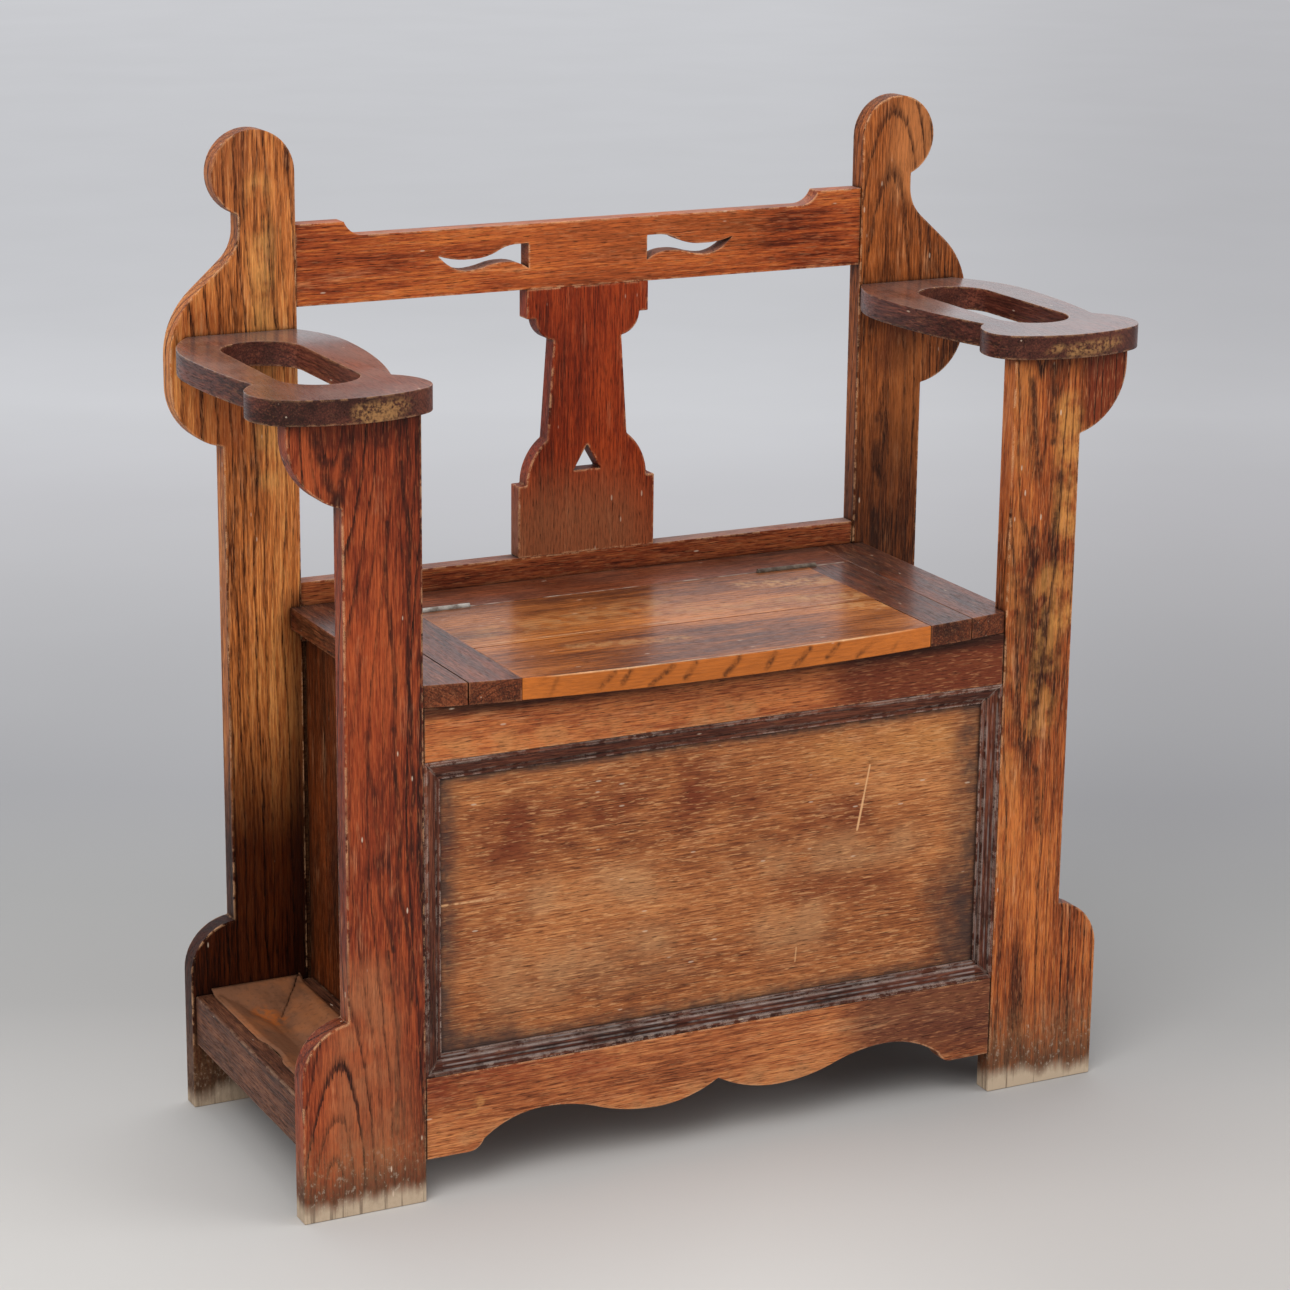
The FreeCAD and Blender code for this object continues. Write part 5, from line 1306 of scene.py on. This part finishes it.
@dataclass
class SlottedScrews:
    """Round slotted screws in the places of a group of plain ones."""

    group: str
    body: str
    seed: float
    sides: int = 28
    lip: float = 0.12 * MM
    point: float = 1.0 * MM
    slot_turn: float = 0.7
    slot_half: float = 0.16
    slot_depth: float = 0.28

    def islands(self) -> list[list[Vector]]:
        """Take the group's solids apart, each as its corners, in the mesh's own order."""
        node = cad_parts[self.group]
        mesh = bmesh.new()
        mesh.from_mesh(node.data)
        bmesh.ops.remove_doubles(mesh, verts=mesh.verts, dist=TINY)
        left = set(mesh.verts)
        found = []
        for first in mesh.verts:
            if first not in left:
                continue
            left.remove(first)
            stack = [first]
            corners = []
            while stack:
                vertex = stack.pop()
                corners.append(vertex.co.copy())
                for edge in vertex.link_edges:
                    other = edge.other_vert(vertex)
                    if other in left:
                        left.remove(other)
                        stack.append(other)
            found.append(corners)
        mesh.free()
        return found

    def frame_of(self, corners: list[Vector]) -> tuple[Matrix, float, float]:
        """Where a screw's head is and how it lies.

        Args:
            corners: The corners of one screw.

        Returns:
            The turn and place of its head, its length and the radius of its head.
        """
        low = Vector([min(c[i] for c in corners) for i in range(3)])
        high = Vector([max(c[i] for c in corners) for i in range(3)])
        span = high - low
        axis = max(range(3), key=lambda i: span[i])
        others = [i for i in range(3) if i != axis]
        middle = (low + high) / 2

        def spread(end: float) -> float:
            """How far the corners at one end stand off the axis."""
            near = [c for c in corners if abs(c[axis] - end) < 0.05 * MM]
            return max((math.hypot(c[others[0]] - middle[others[0]], c[others[1]] - middle[others[1]])
                        for c in near), default=0.0)

        head_low = spread(low[axis]) > spread(high[axis])
        way = Vector((0, 0, 0))
        way[axis] = -1.0 if head_low else 1.0
        place = middle.copy()
        place[axis] = low[axis] if head_low else high[axis]
        turn = way.to_track_quat("Z", "Y").to_matrix().to_4x4()
        return Matrix.Translation(place) @ turn, span[axis], max(spread(low[axis]), spread(high[axis]))

    def build(self, material: bpy.types.Material) -> None:
        """Build the screws in place of the group.

        Args:
            material: Their finish.
        """
        whole = bmesh.new()
        for number, corners in enumerate(self.islands()):
            place, length, radius = self.frame_of(corners)
            start = len(whole.verts)
            shank = radius * 0.5
            rings = (
                (radius * 0.96, 0.0), (radius, -self.lip), (shank, -radius * 0.6),
                (shank, self.point - length), (shank * 0.4, -length))
            turn = number * 1.31 + self.seed
            angles = [turn + math.tau * step / self.sides for step in range(self.sides)]
            levels = [[whole.verts.new((reach * math.cos(angle), reach * math.sin(angle), height))
                       for angle in angles] for reach, height in rings]
            top = whole.faces.new(levels[0])
            for upper, lower in zip(levels, levels[1:]):
                for step in range(self.sides):
                    after = (step + 1) % self.sides
                    whole.faces.new((upper[step], lower[step], lower[after], upper[after]))
            whole.faces.new(list(reversed(levels[-1])))
            self.cut_slot(whole, top, radius, turn)
            whole.verts.ensure_lookup_table()
            for vertex in whole.verts[start:]:
                vertex.co = place @ vertex.co
        bmesh.ops.recalc_face_normals(whole, faces=whole.faces)
        data = mesh_data(f"{self.group}_slotted", whole)
        data.materials.append(material)
        piece = placed(f"{self.group}_slotted", data)
        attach(piece, self.body)
        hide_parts(self.group)
        log.info("%s built", piece.name)

    def cut_slot(self, mesh: bmesh.types.BMesh, top: bmesh.types.BMFace, radius: float,
                 turn: float) -> None:
        """Sink a slot across a head.

        Args:
            mesh: The mesh of the screws.
            top: The head's flat face.
            radius: The head's radius.
            turn: Which way the slot runs.
        """
        across = Vector((math.cos(turn + self.slot_turn), math.sin(turn + self.slot_turn), 0))
        half = radius * self.slot_half
        pieces = [top]
        for sign in (1, -1):
            geometry = list(dict.fromkeys(
                part for face in pieces for part in (face, *face.edges, *face.verts)))
            cut = bmesh.ops.bisect_plane(mesh, geom=geometry, plane_co=across * half * sign, plane_no=across)
            pieces = [part for part in cut["geom"] if isinstance(part, bmesh.types.BMFace)]
        middle = [face for face in pieces if abs(face.calc_center_median().dot(across)) < half * 0.5]
        sunk = bmesh.ops.extrude_face_region(mesh, geom=middle)
        bmesh.ops.delete(mesh, geom=middle, context="FACES_ONLY")
        for part in sunk["geom"]:
            if isinstance(part, bmesh.types.BMVert):
                part.co.z -= radius * self.slot_depth


@dataclass
class Hardware:
    """The butt hinges and every screw."""

    groups: tuple[tuple[str, str], ...] = (
        ("arm_screws", "bench"), ("lid_bearer_screws", "bench"), ("bottom_bearer_screws", "bench"),
        ("tray_bearer_screws", "bench"), ("seat_screws", "bench"), ("hinge_screws_fixed", "bench"),
        ("hinge_screws_lid", "lid"))

    def build(self) -> None:
        """Dress the hinges and build the screws."""
        left = Steel(bright=(206, 200, 190), dull=(136, 124, 112), metal=0.3, gloss=0.5)
        right = Steel(bright=(128, 114, 100), dull=(78, 66, 56), rusty=0.6, metal=0.2, gloss=0.6)
        for side, steel, seed in (("left", left, 2.0), ("right", right, 6.0)):
            for part in ("hinge_fixed_leaf", "hinge_lid_leaf", "hinge_pin"):
                dress(f"{part}_{side}", steel.material(f"{part}_{side}", seed), 0.12 * MM)
        screw = Steel(bright=(120, 112, 100), dull=(60, 50, 42), rusty=0.8, gloss=0.45)
        for number, (group, body) in enumerate(self.groups):
            SlottedScrews(group, body, number * 2.1).build(screw.material(group, number * 3.0))


@dataclass
class Studio:
    """The camera, the pale floor and the soft light."""

    eye: Point = (-1.40746, -2.78034, 1.32159)
    right: Point = (0.894816, -0.446309, 0.010598)
    up: Point = (0.112303, 0.248008, 0.962227)
    back: Point = (-0.432079, -0.859826, 0.272043)
    lens: float = 98.394
    world: float = 0.50
    aim: Point = (0, 0, 0.4)
    floor_reach: float = 40.0
    floor_squares: int = 20
    floor_drop: float = 0.0002
    shade: Colour = (236, 235, 235)
    specks: Colour = (150, 150, 150)
    # tones of the paper by distance into the picture; the darker band a little behind the bench is painted
    # shade
    wall: tuple[tuple[float, Colour], ...] = (
        (0.0, (208, 206, 202)), (0.08, (206, 203, 199)), (0.10, (196, 194, 191)), (0.118, (178, 177, 175)),
        (0.145, (172, 172, 171)), (0.175, (171, 171, 173)), (0.205, (181, 181, 183)),
        (0.25, (191, 191, 194)), (0.30, (198, 198, 202)), (0.36, (208, 209, 213)), (0.44, (200, 201, 205)),
        (0.56, (198, 199, 203)), (1.0, (204, 205, 209)))

    def camera(self) -> None:
        """Set the camera where the photograph was taken from."""
        data = bpy.data.cameras.new("camera")
        data.sensor_width = 36.0
        data.lens = self.lens
        data.clip_end = 200.0
        camera = placed("camera", data)
        turn = Matrix((self.right, self.up, self.back)).transposed().to_4x4()
        camera.matrix_world = Matrix.Translation(self.eye) @ turn
        bpy.context.scene.camera = camera

    def lamp(self, name: str, place: Point, width: float, power: float) -> None:
        """Hang one large square lamp.

        Args:
            name: The lamp's name.
            place: Where it hangs.
            width: The length of its sides.
            power: Its power in watts.
        """
        data = bpy.data.lights.new(name, "AREA")
        data.shape = "SQUARE"
        data.size = width
        data.energy = power
        lamp = placed(name, data)
        lamp.visible_glossy = False
        lamp.location = place
        lamp.rotation_euler = (Vector(self.aim) - Vector(place)).to_track_quat("-Z", "Y").to_euler()

    def floor(self) -> None:
        """Lay a pale floor that runs out of sight."""
        mesh = bmesh.new()
        steps = self.floor_squares
        places = [self.floor_reach * (2 * step / steps - 1) for step in range(steps + 1)]
        rows = [[mesh.verts.new((x, y, 0.0)) for x in places] for y in places]
        for near, far in zip(rows, rows[1:]):
            for i in range(steps):
                mesh.faces.new((near[i], near[i + 1], far[i + 1], far[i]))
        data = mesh_data("floor", mesh)
        floor = placed("floor", data)
        floor.location.z = -self.floor_drop
        data.materials.append(self.paper())

    def paper(self) -> bpy.types.Material:
        """Finish of the floor: pale paper, with painted shade a little behind the bench and towards the
        right.
        """
        graph = Graph("floor_paper")
        place = graph.node("ShaderNodeTexCoord").outputs["Object"]
        far = graph.dot(place, INTO_PICTURE)
        side = graph.dot(place, ACROSS_PICTURE)
        reach = (far / 12.0 + 0.1).kept()
        # painted shade: darker towards the right, for the lamps' fall-off and the bench's shadow on that side
        dim = (side / graph.math("MAXIMUM", far + 3.1, 1.2)).over(0.02, 0.17)
        colour = graph.lay(dim, graph.ramp(reach, self.wall), self.shade, "MULTIPLY")
        grains = graph.noise(place, (3.0, 3.0, 3.0), 3.0, 0.5, 1.0)
        colour = graph.lay((grains - 0.5) * 0.12 + 0.04, colour, self.specks)
        lit = graph.node("ShaderNodeBsdfPrincipled", {}, {
            "Base Color": colour, "Roughness": 0.9, "Specular IOR Level": 0.1})
        glow = graph.node("ShaderNodeEmission", {}, {"Color": colour, "Strength": 1.0})
        seen = graph.node("ShaderNodeLightPath")
        eyes = Value(graph, seen.outputs["Is Camera Ray"]) + Value(graph, seen.outputs["Is Glossy Ray"])
        distance = Value(graph, graph.vector("LENGTH", place, out=1))
        blend = graph.node("ShaderNodeMixShader", {}, {
            0: (distance.over(1.0, 2.4) * eyes).kept(), 1: lit.outputs[0], 2: glow.outputs[0]})
        return graph.finish(blend.outputs[0])

    def sky(self) -> None:
        """Light the room evenly, and show its pale back wall in gloss and past the floor."""
        graph = Graph("room", room=True)
        bpy.context.scene.world = graph.owner
        seen = graph.node("ShaderNodeLightPath")
        light = graph.node("ShaderNodeBackground", {}, {
            "Color": linear((250, 251, 255)), "Strength": self.world})
        place = graph.node("ShaderNodeTexCoord").outputs["Generated"]
        behind = graph.dot(place, INTO_PICTURE)
        mirror = graph.node("ShaderNodeBackground", {}, {
            "Color": linear((248, 249, 255)), "Strength": behind.over(0.0, 0.6) * 0.65 + 0.10})
        view = graph.node("ShaderNodeBackground", {}, {"Color": linear((200, 201, 205))})
        glossy = graph.node("ShaderNodeMixShader", {}, {
            0: seen.outputs["Is Glossy Ray"], 1: light.outputs[0], 2: mirror.outputs[0]})
        mixed = graph.node("ShaderNodeMixShader", {}, {
            0: seen.outputs["Is Camera Ray"], 1: glossy.outputs[0], 2: view.outputs[0]})
        graph.finish(mixed.outputs[0])

    def build(self) -> None:
        """Set up the studio."""
        self.camera()
        self.lamp("key", (-2.2, -2.0, 3.0), 2.2, 78.0)
        self.lamp("fill", (2.6, -2.2, 2.2), 2.4, 44.0)
        self.lamp("top", (0.2, 0.6, 3.6), 2.4, 42.0)
        self.sky()
        self.floor()
        bpy.context.scene.view_settings.view_transform = "Standard"


def main() -> None:
    """Dress the bench piece by piece and light it."""
    logging.basicConfig(level=logging.INFO, format="%(message)s")
    Uprights().build()
    Arms().build()
    Back().build()
    Seat().build()
    Front().build()
    Chest().build()
    Stands().build()
    Hardware().build()
    Studio().build()
    log.info("sizes written")


if __name__ == "__main__":
    main()
